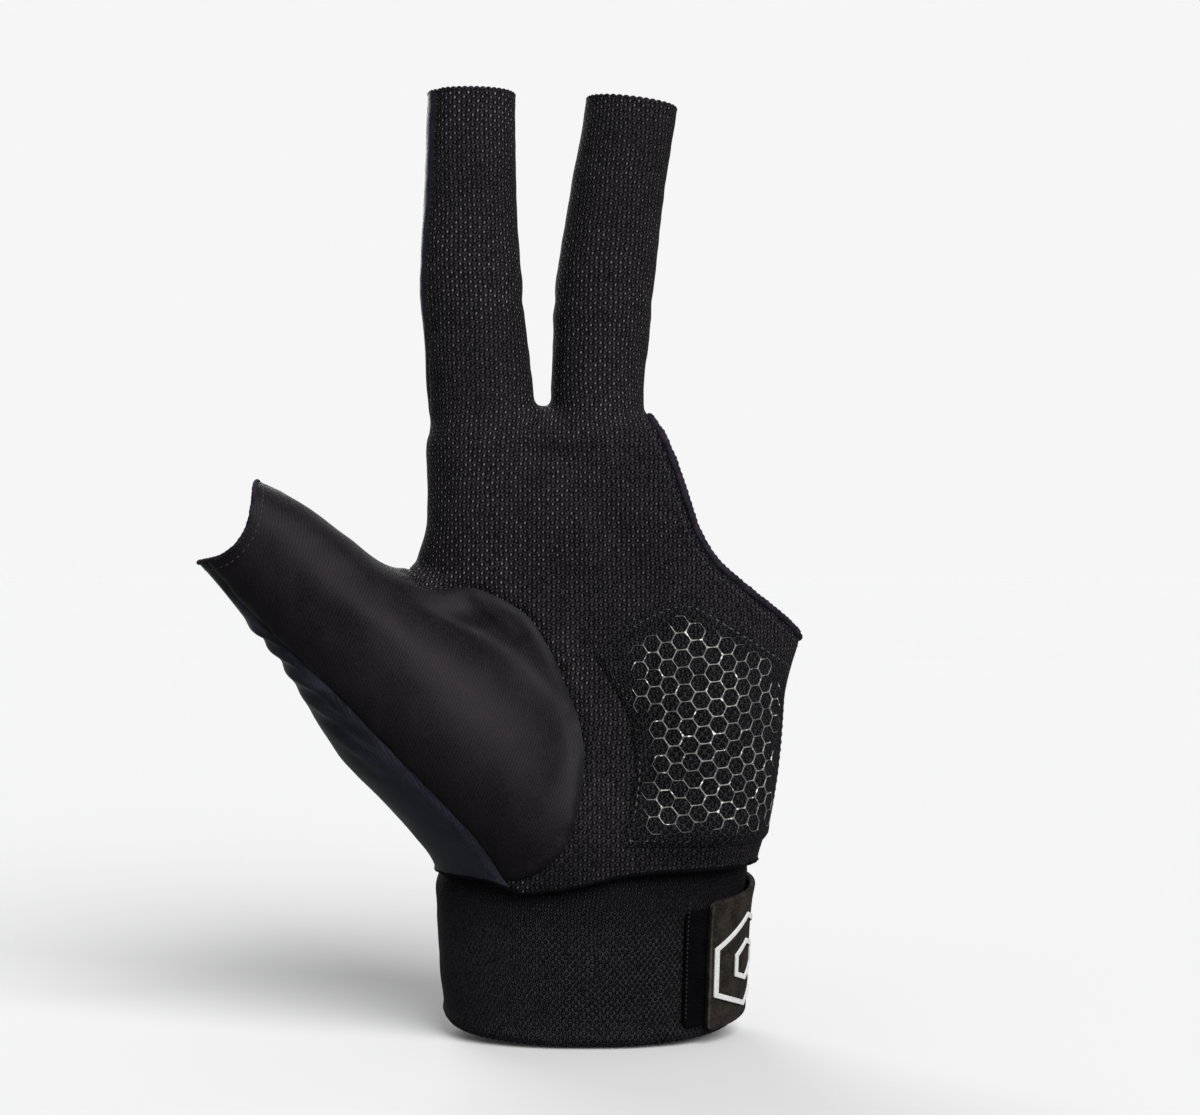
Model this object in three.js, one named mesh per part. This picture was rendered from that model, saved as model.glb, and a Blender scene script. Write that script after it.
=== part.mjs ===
// Three-finger billiard glove for a left hand, in the shape it has when worn with the fingers spread.
// Millimetres, +Z to the fingertips, palm to -Y, thumb to -X. The origin is the middle of the wrist.
//
// The outer skin of the glove is one smooth form, blended from a few lofted sections. Its surface is
// meshed once, cut along the seams into the cloth panels, and each panel is given its wall.

import * as THREE from 'three';
import { mergeVertices } from 'three/addons/utils/BufferGeometryUtils.js';

// Driving dimensions
const PANEL_WALL = 1.5; // stretch cloth of the palm, thumb and back, with its turned seams
const CUFF_WALL = 2.4; // doubled knit of the wrist band
const PATCH_WALL = 0.8;
const LOOP_WALL = 0.8;
const TAB_WALL = 1.2;
const PRINT_RISE = 0.4; // height of the silicone honeycomb
const EMBLEM_RISE = 0.4;
const GAP = 0.34; // clearance between neighbouring solids
const CELL = [4.84, 5.4, 6]; // cells of the mesh that the skin is made of, along X, Y and Z
const WEB_X = -12; // middle of the gap between the finger tubes, which the cells are lined up with
const SKIN_BOX = { low: [WEB_X - 18 * CELL[0], -34, -12], high: [56, 30, 200] };
const SNAP = 1.3; // mesh corners nearer to a seam than this are moved onto it

// Turns a list of rows into records with named columns
function rows(names, values) {
  return values.map((value) => Object.fromEntries(names.map((name, i) => [name, value[i]])));
}

// Sections across the hand, a row for each height
const SECTION = ['z', 'left', 'right', 'front', 'back'];
const PALM = rows(SECTION, [
  [-20, -33.5, 33.0, -20.5, 22.5],
  [-6, -34.6, 33.6, -21.6, 21.6],
  [4, -35.2, 33.8, -22.2, 20.2],
  [12, -36.4, 34.4, -21.2, 18.4],
  [19, -37.6, 36.2, -19.6, 17.2],
  [30, -39.4, 38.9, -17.6, 16.0],
  [41, -40.2, 41.4, -16.0, 15.5],
  [51, -40.6, 44.6, -14.8, 15.0],
  [61, -40.4, 46.4, -14.0, 14.5],
  [70, -38.9, 46.7, -14.2, 14.0],
  [78, -36.4, 46.2, -14.6, 13.5],
  [86, -35.4, 43.5, -14.2, 13.0],
  [93, -34.8, 38.0, -13.0, 12.0],
]);
const INDEX = rows(SECTION, [
  [60, -33.0, -12.0, -12.0, 10.5],
  [95, -35.6, -12.8, -11.5, 10.5],
  [107, -36.9, -14.0, -10.6, 10.0],
  [118, -37.5, -15.1, -10.2, 9.8],
  [128, -38.5, -16.0, -10.4, 9.6],
  [149, -37.6, -17.3, -9.2, 8.6],
  [171, -36.8, -17.6, -8.4, 7.6],
  [186, -36.4, -18.0, -8.0, 7.0],
]);
const MIDDLE = rows(SECTION, [
  [60, -10.0, 11.0, -12.0, 10.5],
  [95, -9.9, 11.0, -11.5, 10.5],
  [107, -9.6, 10.7, -10.6, 10.0],
  [118, -9.2, 11.9, -10.2, 9.8],
  [128, -8.9, 12.8, -10.4, 9.6],
  [149, -5.6, 15.1, -9.4, 8.6],
  [167, -2.4, 17.9, -8.6, 7.8],
  [186, 0.4, 21.0, -8.2, 7.2],
]);

// Sections across the thumb, by the distance along it from THUMB_ROOT
const THUMB_ROOT = new THREE.Vector3(-33.5, 0, 32.5);
const THUMB_TURN = THREE.MathUtils.degToRad(43);
const THUMB_ALONG = new THREE.Vector3(-Math.cos(THUMB_TURN), 0, Math.sin(THUMB_TURN));
const THUMB_ACROSS = new THREE.Vector3(Math.sin(THUMB_TURN), 0, Math.cos(THUMB_TURN));
const THUMB = rows(SECTION, [
  [-34, -13.0, 14.0, -20.0, 16.0],
  [-18, -18.2, 20.0, -24.0, 15.5],
  [-4, -18.7, 21.5, -26.2, 14.5],
  [9, -19.2, 21.0, -26.2, 13.0],
  [17, -17.8, 19.6, -25.4, 11.5],
  [28, -15.0, 18.2, -23.4, 9.0],
  [34, -12.4, 17.4, -22.2, 7.6],
  [43, -10.2, 16.8, -21.0, 5.8],
  [56, -9.2, 15.3, -19.4, 3.6],
  [66, -9.0, 12.5, -18.2, 2.6],
  [76, -9.4, 9.8, -16.8, 1.6],
]);

// Soft swellings of the palm: the ball of the thumb and the heel under the little finger.
// turn is the angle of the long axis above -X, in degrees.
const SWELLING = rows(['x', 'y', 'z', 'along', 'across', 'deep', 'turn', 'blend'], [
  [-27, -9.0, 27, 29, 17, 17.5, 43, 9],
  [22, -6.0, 28, 34, 13, 14.0, 90, 10],
]);

// Folds of the cloth: side is -1 on the palm's side and 1 on the back, rise is negative for a dent
const FOLD = rows(['x', 'z', 'turn', 'long', 'wide', 'rise', 'side'], [
  [-66, 63, 47, 9, 3.0, 1.2, 1],
  [-57, 50, 38, 10, 3.2, 1.3, 1],
  [-50, 60, 32, 13, 4.0, 0.8, -1],
  [-28, 54, 26, 9, 3.0, -1.0, -1],
  [-33, 62, 18, 7, 2.6, 0.8, -1],
  [3, 76, 62, 16, 4.5, -0.8, -1],
  [-10, 92, 15, 10, 3.0, -0.7, -1],
  [-4, 40, 100, 20, 5.0, -1.4, -1],
  [20, 5, 0, 16, 3.0, -1.2, -1],
]);

// Blend widths where the lofts meet
const FINGER_BLEND = 3;
const KNUCKLE_BLEND = 4;
const THUMB_BLEND = 5;
// How square each loft's sections are, and how far its rounded ends reach past the last rows
const PALM_LOFT = { power: 2.5, cap: 7.6 };
const FINGER_LOFT = { power: 2.2, cap: 6 };
const THUMB_LOFT = { power: 2.3, cap: 10 };
const CUFF_POWER = 2.2;

// Seams and edges, each a short table of a curve in the plane of the hand
const SLIT = rows(['z', 'x'], [
  [40, 62], [50, 50], [54.5, 43.5], [58.1, 39.2], [61.6, 34.5], [65, 30.4], [68.5, 26.3],
  [75.3, 22], [82, 19.7], [89, 17.4], [96, 14.9], [101, 12.7], [106, 12.4], [112, 13.6],
  [127, 15.6], [150, 22], [190, 34],
]);
const THUMB_SEAM_CENTRE = { x: -32.6, z: 33.0 };
const THUMB_SEAM = rows(['angle', 'reach'], [
  [-90, 32.5], [-67, 34.0], [-62, 35.5], [-52, 36.2], [-41, 35.6], [-27, 33.2], [-11, 31.0],
  [1, 29.6], [18, 28.2], [38, 28.8], [54, 30.4], [64, 30.6], [78, 31.0], [90, 30.4],
  [100, 32.8], [112, 36],
]);
const WEBBING_SEAM = rows(['z', 'x'], [
  [-6, -12.5], [2, -20.0], [18, -34.4], [31, -46.4], [39, -53.8], [47, -62.2], [56, -71.0],
  [68, -82.6], [76, -90.5],
]);
const WRIST_SEAM = rows(['x', 'z'], [
  [-45, 2.2], [-35, 2.2], [-25, 1.9], [-20, 1.0], [-17, -0.8], [-12, -0.6], [-3, 0.8],
  [7, 3.0], [24, 4.0], [35, 4.4], [45, 4.4],
]);
const BACK_WRIST_SEAM = 3;
// The seam between front and back along the outer side of the index finger, seen as a thin strip
const OUTER_SEAM = rows(['z', 'y'], [
  [60, 1.0], [88, 0.8], [104, -2.0], [122, -4.6], [150, -5.0], [180, -4.6],
]);
const HIDDEN_SEAM_Y = 2.5;
// How far that seam comes forward along the thumb, which is held in front of the palm
const THUMB_TOP_SEAM = rows(['x', 'forward'], [[-90, 7.5], [-76, 6.0], [-60, 3.0], [-48, 0.6], [-42, 0]]);

// Open ends of the three tubes, and the places past which a face belongs to a tube
const INDEX_TOP = 171.4;
const MIDDLE_TOP = { z: 169.2, x: 8.5, slope: -0.12 };
const THUMB_TOP = { along: 58, across: 0.5, hollow: 0.052 };
const FINGERS_FROM_Z = 120;
const THUMB_TO_X = -52;

// Outline of the grip patch on the heel of the palm
const PATCH_LEFT = rows(['z', 'x'], [
  [4, 5.4], [8, 5.9], [19, 7.7], [26, 8.4], [36, 7.2], [43, 3.6], [49.2, -0.2], [53, -2.5],
]);
const PATCH_TOP = rows(['x', 'z'], [
  [-4, 45.6], [-0.2, 49.2], [5.5, 54.4], [11.5, 58.2], [20.2, 60.6], [29.3, 55.6], [44, 46.4],
]);
const PATCH_FOOT = 9;
const PATCH_SIDE_Y = -6;

// Honeycomb print: the pitch is from flat to flat, and the rows hang a few degrees
const COMB_PITCH = 3.6;
const COMB_LINE = 0.5;
const COMB_TURN = THREE.MathUtils.degToRad(-5);
const COMB_START = { x: 20, y: -17, z: 34 };
const COMB_SPAN = 10; // rows and columns tried on each side of the middle
const COMB_STRIDE = 1.5;
const COMB_LEFT = rows(['z', 'x'], [[12, 11], [34, 11.4], [42, 8.6], [50, 6.4], [56, 4]]);
const COMB_CROWN = rows(['x', 'z'], [[4, 46], [8, 50.5], [16, 56.4], [24, 54.6], [36, 47.6], [48, 40]]);
const COMB_RIGHT = 42;
const COMB_FOOT = 13;

// Wrist band, whose foot follows the wrist as it leans back
const CUFF = rows(SECTION, [
  [-40, -32.9, 31.0, -12.2, 30.0],
  [-30, -33.6, 31.3, -14.2, 27.6],
  [-22, -34.3, 31.6, -16.2, 25.6],
  [-12, -34.7, 31.9, -18.4, 23.0],
  [-5, -34.9, 32.0, -19.4, 20.6],
  [-1, -34.8, 32.0, -19.2, 19.0],
  [2.4, -32.7, 31.6, -18.8, 17.8],
  [6, -33.0, 31.4, -18.7, 17.2],
]);
const CUFF_CELLS = { round: 36, up: 5 };
const CUFF_TOP = 5.5;
const CUFF_FOOT = { z: -32.9, slope: 0.15 };
const CUFF_SLIT = { from: 16, to: 30 };
const LOOP = { from: -54.5, to: 12, top: -2.6, foot: -29.6, corner: 1.5, cells: 12 };
const TAB = { from: -43.5, to: 62, top: -1.0, foot: -30.6, corner: 3.4, cells: 18 };
const STRAP_LINES = 4;
const CLOSURE_SLOPE = 0.18;
const EMBLEM = { turn: -16, z: -17.4, reach: 11.2, line: 1.1, core: 5 };

// Value of one column of a table at a place, on a smooth curve through the rows
function along(table, key, at, column) {
  const last = table.length - 1;
  const place = THREE.MathUtils.clamp(at, table[0][key], table[last][key]);
  let i = 0;
  while (i < last - 1 && place > table[i + 1][key]) {
    i += 1;
  }
  const slopeAt = (k) => {
    const before = table[Math.max(k - 1, 0)];
    const after = table[Math.min(k + 1, last)];
    return (after[column] - before[column]) / (after[key] - before[key]);
  };
  const span = table[i + 1][key] - table[i][key];
  const t = (place - table[i][key]) / span;
  const start = (2 * t ** 3 - 3 * t ** 2 + 1) * table[i][column];
  const end = (3 * t ** 2 - 2 * t ** 3) * table[i + 1][column];
  const leave = (t ** 3 - 2 * t ** 2 + t) * span * slopeAt(i);
  const arrive = (t ** 3 - t ** 2) * span * slopeAt(i + 1);
  return start + end + leave + arrive;
}

function sectionAt(table, z) {
  return {
    left: along(table, 'z', z, 'left'),
    right: along(table, 'z', z, 'right'),
    front: along(table, 'z', z, 'front'),
    back: along(table, 'z', z, 'back'),
  };
}

// About how far a point lies outside a loft through the sections, rounded off past its last rows
function loft(x, y, z, table, { power, cap }) {
  const section = sectionAt(table, z);
  const wide = (section.right - section.left) / 2;
  const deep = (section.back - section.front) / 2;
  const past = Math.max(z - table[table.length - 1].z, 0) + Math.max(table[0].z - z, 0);
  const acrossTerm = Math.abs((x - (section.left + section.right) / 2) / wide) ** power;
  const deepTerm = Math.abs((y - (section.front + section.back) / 2) / deep) ** power;
  const reach = (acrossTerm + deepTerm + (past / cap) ** power) ** (1 / power);
  return (reach - 1) * Math.min(wide, deep);
}

function blend(a, b, width) {
  const near = Math.max(width - Math.abs(a - b), 0) / width;
  return Math.min(a, b) - (near * near * width) / 4;
}

function swelling(p, item) {
  const turn = THREE.MathUtils.degToRad(item.turn);
  const dx = p.x - item.x;
  const dz = p.z - item.z;
  const along = -dx * Math.cos(turn) + dz * Math.sin(turn);
  const across = dx * Math.sin(turn) + dz * Math.cos(turn);
  const reach = Math.hypot(along / item.along, across / item.across, (p.y - item.y) / item.deep);
  return (reach - 1) * Math.min(item.along, item.across, item.deep);
}

function foldRise(p) {
  let rise = 0;
  for (const fold of FOLD) {
    const turn = THREE.MathUtils.degToRad(fold.turn);
    const dx = p.x - fold.x;
    const dz = p.z - fold.z;
    const along = dx * Math.cos(turn) - dz * Math.sin(turn);
    const across = dx * Math.sin(turn) + dz * Math.cos(turn);
    const side = THREE.MathUtils.smoothstep(fold.side * p.y, -12, 6);
    rise += fold.rise * side * Math.exp(-((along / fold.long) ** 2) - (across / fold.wide) ** 2);
  }
  return rise;
}

// The glove's outer skin is where this is zero; it is negative inside
function form(p) {
  const index = loft(p.x, p.y, p.z, INDEX, FINGER_LOFT);
  const middle = loft(p.x, p.y, p.z, MIDDLE, FINGER_LOFT);
  const palm = loft(p.x, p.y, p.z, PALM, PALM_LOFT);
  let skin = blend(palm, blend(index, middle, FINGER_BLEND), KNUCKLE_BLEND);
  for (const item of SWELLING) {
    skin = blend(skin, swelling(p, item), item.blend);
  }
  const fromRoot = p.clone().sub(THUMB_ROOT);
  const thumb = loft(fromRoot.dot(THUMB_ACROSS), p.y, fromRoot.dot(THUMB_ALONG), THUMB, THUMB_LOFT);
  return blend(skin, thumb, THUMB_BLEND) - foldRise(p);
}

function slope(rule, p) {
  const step = 0.2;
  const axes = [new THREE.Vector3(step, 0, 0), new THREE.Vector3(0, step, 0), new THREE.Vector3(0, 0, step)];
  const parts = axes.map((axis) => (rule(p.clone().add(axis)) - rule(p.clone().sub(axis))) / (2 * step));
  return new THREE.Vector3(...parts);
}

function normalAt(p) {
  return slope(form, p).normalize();
}

// Moves a point onto the skin
function settle(p, times = 4) {
  for (let i = 0; i < times; i += 1) {
    const uphill = slope(form, p);
    p.addScaledVector(uphill, -form(p) / Math.max(uphill.lengthSq(), 1e-4));
  }
  return p;
}

// Meshes the skin: one corner in each cell that it crosses, and a quad round each edge that it crosses
function meshSkin(low, high, cell) {
  const count = low.map((value, k) => Math.ceil((high[k] - value) / cell[k]) + 1);
  const indexOf = (i, j, k) => (i * count[1] + j) * count[2] + k;
  const place = (...node) => new THREE.Vector3(...node.map((n, k) => low[k] + n * cell[k]));
  const value = new Float64Array(count[0] * count[1] * count[2]);
  const nodes = [];
  for (let i = 0; i < count[0]; i += 1) {
    for (let j = 0; j < count[1]; j += 1) {
      for (let k = 0; k < count[2]; k += 1) {
        nodes.push([i, j, k]);
        value[indexOf(i, j, k)] = form(place(i, j, k));
      }
    }
  }
  const steps = [[1, 0, 0], [0, 1, 0], [0, 0, 1]];
  const inGrid = (node) => node.every((n, axis) => n >= 0 && n < count[axis]);
  const cellSum = new Map();
  const quads = [];
  for (const node of nodes) {
    steps.forEach((step, axis) => {
      const next = node.map((n, k) => n + step[k]);
      if (!inGrid(next)) {
        return;
      }
      const here = value[indexOf(...node)];
      const there = value[indexOf(...next)];
      const atEdge = node.some((n, k) => k !== axis && n === 0);
      if (atEdge || here < 0 === there < 0) {
        return;
      }
      const hit = place(...node).lerp(place(...next), here / (here - there));
      const [u, v] = [steps[(axis + 1) % 3], steps[(axis + 2) % 3]];
      const around = [[-1, -1], [0, -1], [0, 0], [-1, 0]].map(
        ([a, b]) => indexOf(...node.map((n, k) => n + a * u[k] + b * v[k])),
      );
      for (const key of around) {
        const sum = cellSum.get(key) ?? { total: new THREE.Vector3(), hits: 0 };
        sum.total.add(hit);
        sum.hits += 1;
        cellSum.set(key, sum);
      }
      quads.push(here < 0 ? around : around.reverse());
    });
  }
  const numberOf = new Map();
  const points = [];
  for (const [key, sum] of cellSum) {
    numberOf.set(key, points.length);
    points.push(sum.total.divideScalar(sum.hits));
  }
  return { points, quads: quads.map((quad) => quad.map((key) => numberOf.get(key))) };
}

// Evens the mesh out along the skin
function relax(points, quads, times) {
  const near = points.map(() => new Set());
  for (const quad of quads) {
    quad.forEach((corner, i) => {
      near[corner].add(quad[(i + 1) % 4]);
      near[corner].add(quad[(i + 3) % 4]);
    });
  }
  for (let pass = 0; pass < times; pass += 1) {
    const moved = points.map((point, i) => {
      const mean = new THREE.Vector3();
      near[i].forEach((other) => mean.add(points[other]));
      return mean.divideScalar(near[i].size).lerp(point, 0.4);
    });
    moved.forEach((point, i) => points[i].copy(settle(point)));
  }
}

function halves(points, [a, b, c, d]) {
  const short = points[a].distanceTo(points[c]) <= points[b].distanceTo(points[d]);
  return short ? [[a, b, c], [a, c, d]] : [[a, b, d], [b, c, d]];
}

// Puts a point on the line where the skin meets a seam rule
function seatOnSeam(p, rule) {
  for (let i = 0; i < 5; i += 1) {
    const normal = normalAt(p);
    const uphill = slope(rule, p);
    uphill.addScaledVector(normal, -uphill.dot(normal));
    const step = uphill.multiplyScalar(-rule(p) / Math.max(uphill.lengthSq(), 0.1));
    settle(p.add(step.clampLength(0, SNAP)), 2);
  }
  return p;
}

function middleOf(points, face) {
  return face.reduce((sum, corner) => sum.add(points[corner]), new THREE.Vector3()).divideScalar(3);
}

// Cuts faces along the line where a rule is zero, and sorts them by its sign
function cut(skin, faces, rule) {
  const sign = new Map();
  for (const corner of faces.flat()) {
    if (sign.has(corner)) {
      continue;
    }
    const point = skin.points[corner];
    const value = rule(point);
    if (Math.abs(value) < SNAP && !skin.pinned.has(corner)) {
      const seated = seatOnSeam(point.clone(), rule);
      if (seated.distanceTo(point) < SNAP * 1.6) {
        point.copy(seated);
        skin.pinned.add(corner);
        sign.set(corner, 0);
        continue;
      }
    }
    sign.set(corner, Math.abs(value) < 0.02 ? 0 : Math.sign(value));
  }
  const crossings = new Map();
  const crossing = (a, b) => {
    const key = a < b ? `${a} ${b}` : `${b} ${a}`;
    if (!crossings.has(key)) {
      const [from, to] = [skin.points[a], skin.points[b]];
      const share = rule(from) / (rule(from) - rule(to));
      const middle = seatOnSeam(from.clone().lerp(to, share), rule);
      crossings.set(key, skin.points.push(middle) - 1);
      skin.pinned.add(skin.points.length - 1);
    }
    return crossings.get(key);
  };
  const sides = { keep: [], rest: [] };
  const addFan = (side, polygon) => {
    if (polygon.length === 4) {
      side.push(...halves(skin.points, polygon));
    } else if (polygon.length === 3) {
      side.push(polygon);
    }
  };
  for (const face of faces) {
    const signs = face.map((corner) => sign.get(corner));
    if (signs.every((value) => value === 0)) {
      sides[rule(middleOf(skin.points, face)) > 0 ? 'keep' : 'rest'].push(face);
    } else if (Math.min(...signs) >= 0) {
      sides.keep.push(face);
    } else if (Math.max(...signs) <= 0) {
      sides.rest.push(face);
    } else {
      const above = [];
      const below = [];
      face.forEach((corner, i) => {
        const next = face[(i + 1) % 3];
        const [here, there] = [signs[i], signs[(i + 1) % 3]];
        if (here >= 0) {
          above.push(corner);
        }
        if (here <= 0) {
          below.push(corner);
        }
        if (here * there < 0) {
          const middle = crossing(corner, next);
          above.push(middle);
          below.push(middle);
        }
      });
      addFan(sides.keep, above);
      addFan(sides.rest, below);
    }
  }
  return sides;
}

// Rules of the seams and edges: positive on the side that is kept or named first
const slitRule = (p) => (along(SLIT, 'z', p.z, 'x') - p.x) * 0.8;
const indexTopRule = (p) => INDEX_TOP - p.z;
const middleTopRule = (p) => MIDDLE_TOP.z + MIDDLE_TOP.slope * (p.x - MIDDLE_TOP.x) - p.z;
const thumbTopRule = (p) => {
  const fromRoot = p.clone().sub(THUMB_ROOT);
  const across = fromRoot.dot(THUMB_ACROSS) - THUMB_TOP.across;
  return THUMB_TOP.along + THUMB_TOP.hollow * across ** 2 - fromRoot.dot(THUMB_ALONG);
};
const wristRule = (p) => {
  const toBack = THREE.MathUtils.smoothstep(p.y, -8, 8);
  return p.z - THREE.MathUtils.lerp(along(WRIST_SEAM, 'x', p.x, 'z'), BACK_WRIST_SEAM, toBack);
};
const backRule = (p) => {
  const outer = THREE.MathUtils.smoothstep(-p.x, 24, 30);
  const upright = THREE.MathUtils.lerp(HIDDEN_SEAM_Y, along(OUTER_SEAM, 'z', p.z, 'y'), outer);
  return p.y - upright + along(THUMB_TOP_SEAM, 'x', p.x, 'forward');
};
const webbingRule = (p) => (along(WEBBING_SEAM, 'z', p.z, 'x') - p.x) * 0.7;
const thumbRule = (p) => {
  const dx = p.x - THUMB_SEAM_CENTRE.x;
  const dz = p.z - THUMB_SEAM_CENTRE.z;
  const angle = THREE.MathUtils.radToDeg(Math.atan2(dz, dx));
  const inTable = angle >= THUMB_SEAM[0].angle && angle <= THUMB_SEAM[THUMB_SEAM.length - 1].angle;
  const beyond = inTable ? 0 : 60;
  return along(THUMB_SEAM, 'angle', angle, 'reach') + beyond - Math.hypot(dx, dz);
};
const patchRules = [
  (p) => PATCH_SIDE_Y - p.y,
  (p) => p.x - along(PATCH_LEFT, 'z', p.z, 'x'),
  (p) => (along(PATCH_TOP, 'x', p.x, 'z') - p.z) * 0.8,
  (p) => p.z - PATCH_FOOT,
];

// Gives a patch of the skin a wall: its outer face lies lift above the skin
function thicken(skin, faces, wall, lift = 0) {
  const boundary = new Map();
  const twin = new Set(faces.flatMap((f) => f.map((a, i) => `${a} ${f[(i + 1) % 3]}`)));
  const edges = [];
  for (const face of faces) {
    face.forEach((a, i) => {
      const b = face[(i + 1) % 3];
      if (!twin.has(`${b} ${a}`)) {
        edges.push([a, b]);
      }
    });
  }
  const used = [...new Set(faces.flat())];
  const normals = new Map(used.map((corner) => [corner, normalAt(skin.points[corner])]));
  for (const [a, b] of edges) {
    const run = skin.points[b].clone().sub(skin.points[a]).normalize();
    for (const corner of [a, b]) {
      const inward = normals.get(corner).clone().cross(run);
      boundary.set(corner, (boundary.get(corner) ?? new THREE.Vector3()).add(inward));
    }
  }
  const numberOf = new Map(used.map((corner, i) => [corner, i]));
  const outer = [];
  const inner = [];
  for (const corner of used) {
    const point = skin.points[corner].clone();
    if (boundary.has(corner)) {
      point.addScaledVector(boundary.get(corner).normalize(), GAP / 2);
    }
    outer.push(point.clone().addScaledVector(normals.get(corner), lift));
    inner.push(point.clone().addScaledVector(normals.get(corner), lift - wall));
  }
  const count = used.length;
  const triangles = [];
  for (const face of faces) {
    const [a, b, c] = face.map((corner) => numberOf.get(corner));
    triangles.push([a, b, c], [a + count, c + count, b + count]);
  }
  for (const [from, to] of edges) {
    const [a, b] = [numberOf.get(from), numberOf.get(to)];
    triangles.push([b, a, a + count], [b, a + count, b + count]);
  }
  return solid([...outer, ...inner], triangles);
}

function solid(points, triangles) {
  const geometry = new THREE.BufferGeometry();
  const values = points.flatMap((point) => [point.x, point.y, point.z]);
  geometry.setAttribute('position', new THREE.Float32BufferAttribute(values, 3));
  geometry.setIndex(triangles.flat());
  return mergeVertices(geometry, 1e-4);
}

// Point above the wrist band's outer face, by its angle from +X (the palm is at -90) and height
function cuffPoint(angle, z, lift = 0) {
  const at = (degrees, height) => {
    const section = sectionAt(CUFF, height);
    const turn = THREE.MathUtils.degToRad(degrees);
    const wide = (section.right - section.left) / 2;
    const deep = (section.back - section.front) / 2;
    const bend = (value) => Math.sign(value) * Math.abs(value) ** (2 / CUFF_POWER);
    return new THREE.Vector3(
      (section.left + section.right) / 2 + wide * bend(Math.cos(turn)),
      (section.front + section.back) / 2 + deep * bend(Math.sin(turn)),
      height,
    );
  };
  const round = at(angle + 0.5, z).sub(at(angle - 0.5, z));
  const up = at(angle, z + 0.5).sub(at(angle, z - 0.5));
  return at(angle, z).addScaledVector(round.cross(up).normalize(), lift);
}

// Height of a tilted edge of the band, found where the edge's plane meets it
function tiltedEdge(angle, height, tilt) {
  let z = height;
  for (let i = 0; i < 6; i += 1) {
    z = height + tilt * cuffPoint(angle, z).y;
  }
  return z;
}

// Closed solid from a grid of places, each of which gives a point for a height above the base
function grid(columns, lines, place, low, high) {
  const points = [];
  for (const lift of [high, low]) {
    for (let i = 0; i < columns; i += 1) {
      for (let j = 0; j < lines; j += 1) {
        points.push(place(i / (columns - 1), j / (lines - 1), lift));
      }
    }
  }
  const count = columns * lines;
  const at = (i, j) => i * lines + j;
  const triangles = [];
  for (let i = 0; i < columns - 1; i += 1) {
    for (let j = 0; j < lines - 1; j += 1) {
      const [a, b, c, d] = [at(i, j), at(i + 1, j), at(i + 1, j + 1), at(i, j + 1)];
      triangles.push([a, b, c], [a, c, d]);
      triangles.push([a + count, c + count, b + count], [a + count, d + count, c + count]);
    }
  }
  const rim = [];
  for (let i = 0; i < columns - 1; i += 1) {
    rim.push([at(i, 0), at(i + 1, 0)], [at(i + 1, lines - 1), at(i, lines - 1)]);
  }
  for (let j = 0; j < lines - 1; j += 1) {
    rim.push([at(columns - 1, j), at(columns - 1, j + 1)], [at(0, j + 1), at(0, j)]);
  }
  for (const [a, b] of rim) {
    triangles.push([b, a, a + count], [b, a + count, b + count]);
  }
  return solid(points, triangles);
}

function cuffGeometry() {
  const sweep = 360 - (CUFF_SLIT.to - CUFF_SLIT.from);
  const place = (u, v, lift) => {
    const angle = CUFF_SLIT.to + u * sweep;
    const foot = tiltedEdge(angle, CUFF_FOOT.z, CUFF_FOOT.slope);
    return cuffPoint(angle, THREE.MathUtils.lerp(foot, CUFF_TOP, v), lift);
  };
  return grid(CUFF_CELLS.round + 1, CUFF_CELLS.up + 1, place, -CUFF_WALL, 0);
}

// A strap laid on the band, with round corners at the end on the palm's side. Past the loop strip it
// comes down to the band, where it is sewn on.
function strapGeometry(strap, base, wall) {
  const place = (u, v, lift) => {
    const angle = THREE.MathUtils.lerp(strap.from, strap.to, u ** 1.3);
    const start = cuffPoint(strap.from, strap.foot / 2);
    const fromEnd = cuffPoint(angle, strap.foot / 2).distanceTo(start);
    const inCorner = Math.max(strap.corner - fromEnd, 0);
    const trim = strap.corner - Math.sqrt(strap.corner ** 2 - inCorner ** 2);
    const top = tiltedEdge(angle, strap.top, CLOSURE_SLOPE) - trim;
    const foot = tiltedEdge(angle, strap.foot, CLOSURE_SLOPE) + trim;
    const down = (base - GAP) * THREE.MathUtils.smoothstep(angle, LOOP.to + 2, LOOP.to + 24);
    return cuffPoint(angle, THREE.MathUtils.lerp(foot, top, v), lift - down);
  };
  return grid(strap.cells + 1, STRAP_LINES, place, base, base + wall);
}

// Place on the tab: across and up from the emblem's middle, in millimetres
function emblemPoint(across, up, lift) {
  const unit = cuffPoint(EMBLEM.turn + 1, EMBLEM.z).distanceTo(cuffPoint(EMBLEM.turn, EMBLEM.z));
  const tilt = CLOSURE_SLOPE * (across * 0.8);
  return cuffPoint(EMBLEM.turn + across / unit, EMBLEM.z + up + tilt, lift);
}

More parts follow.
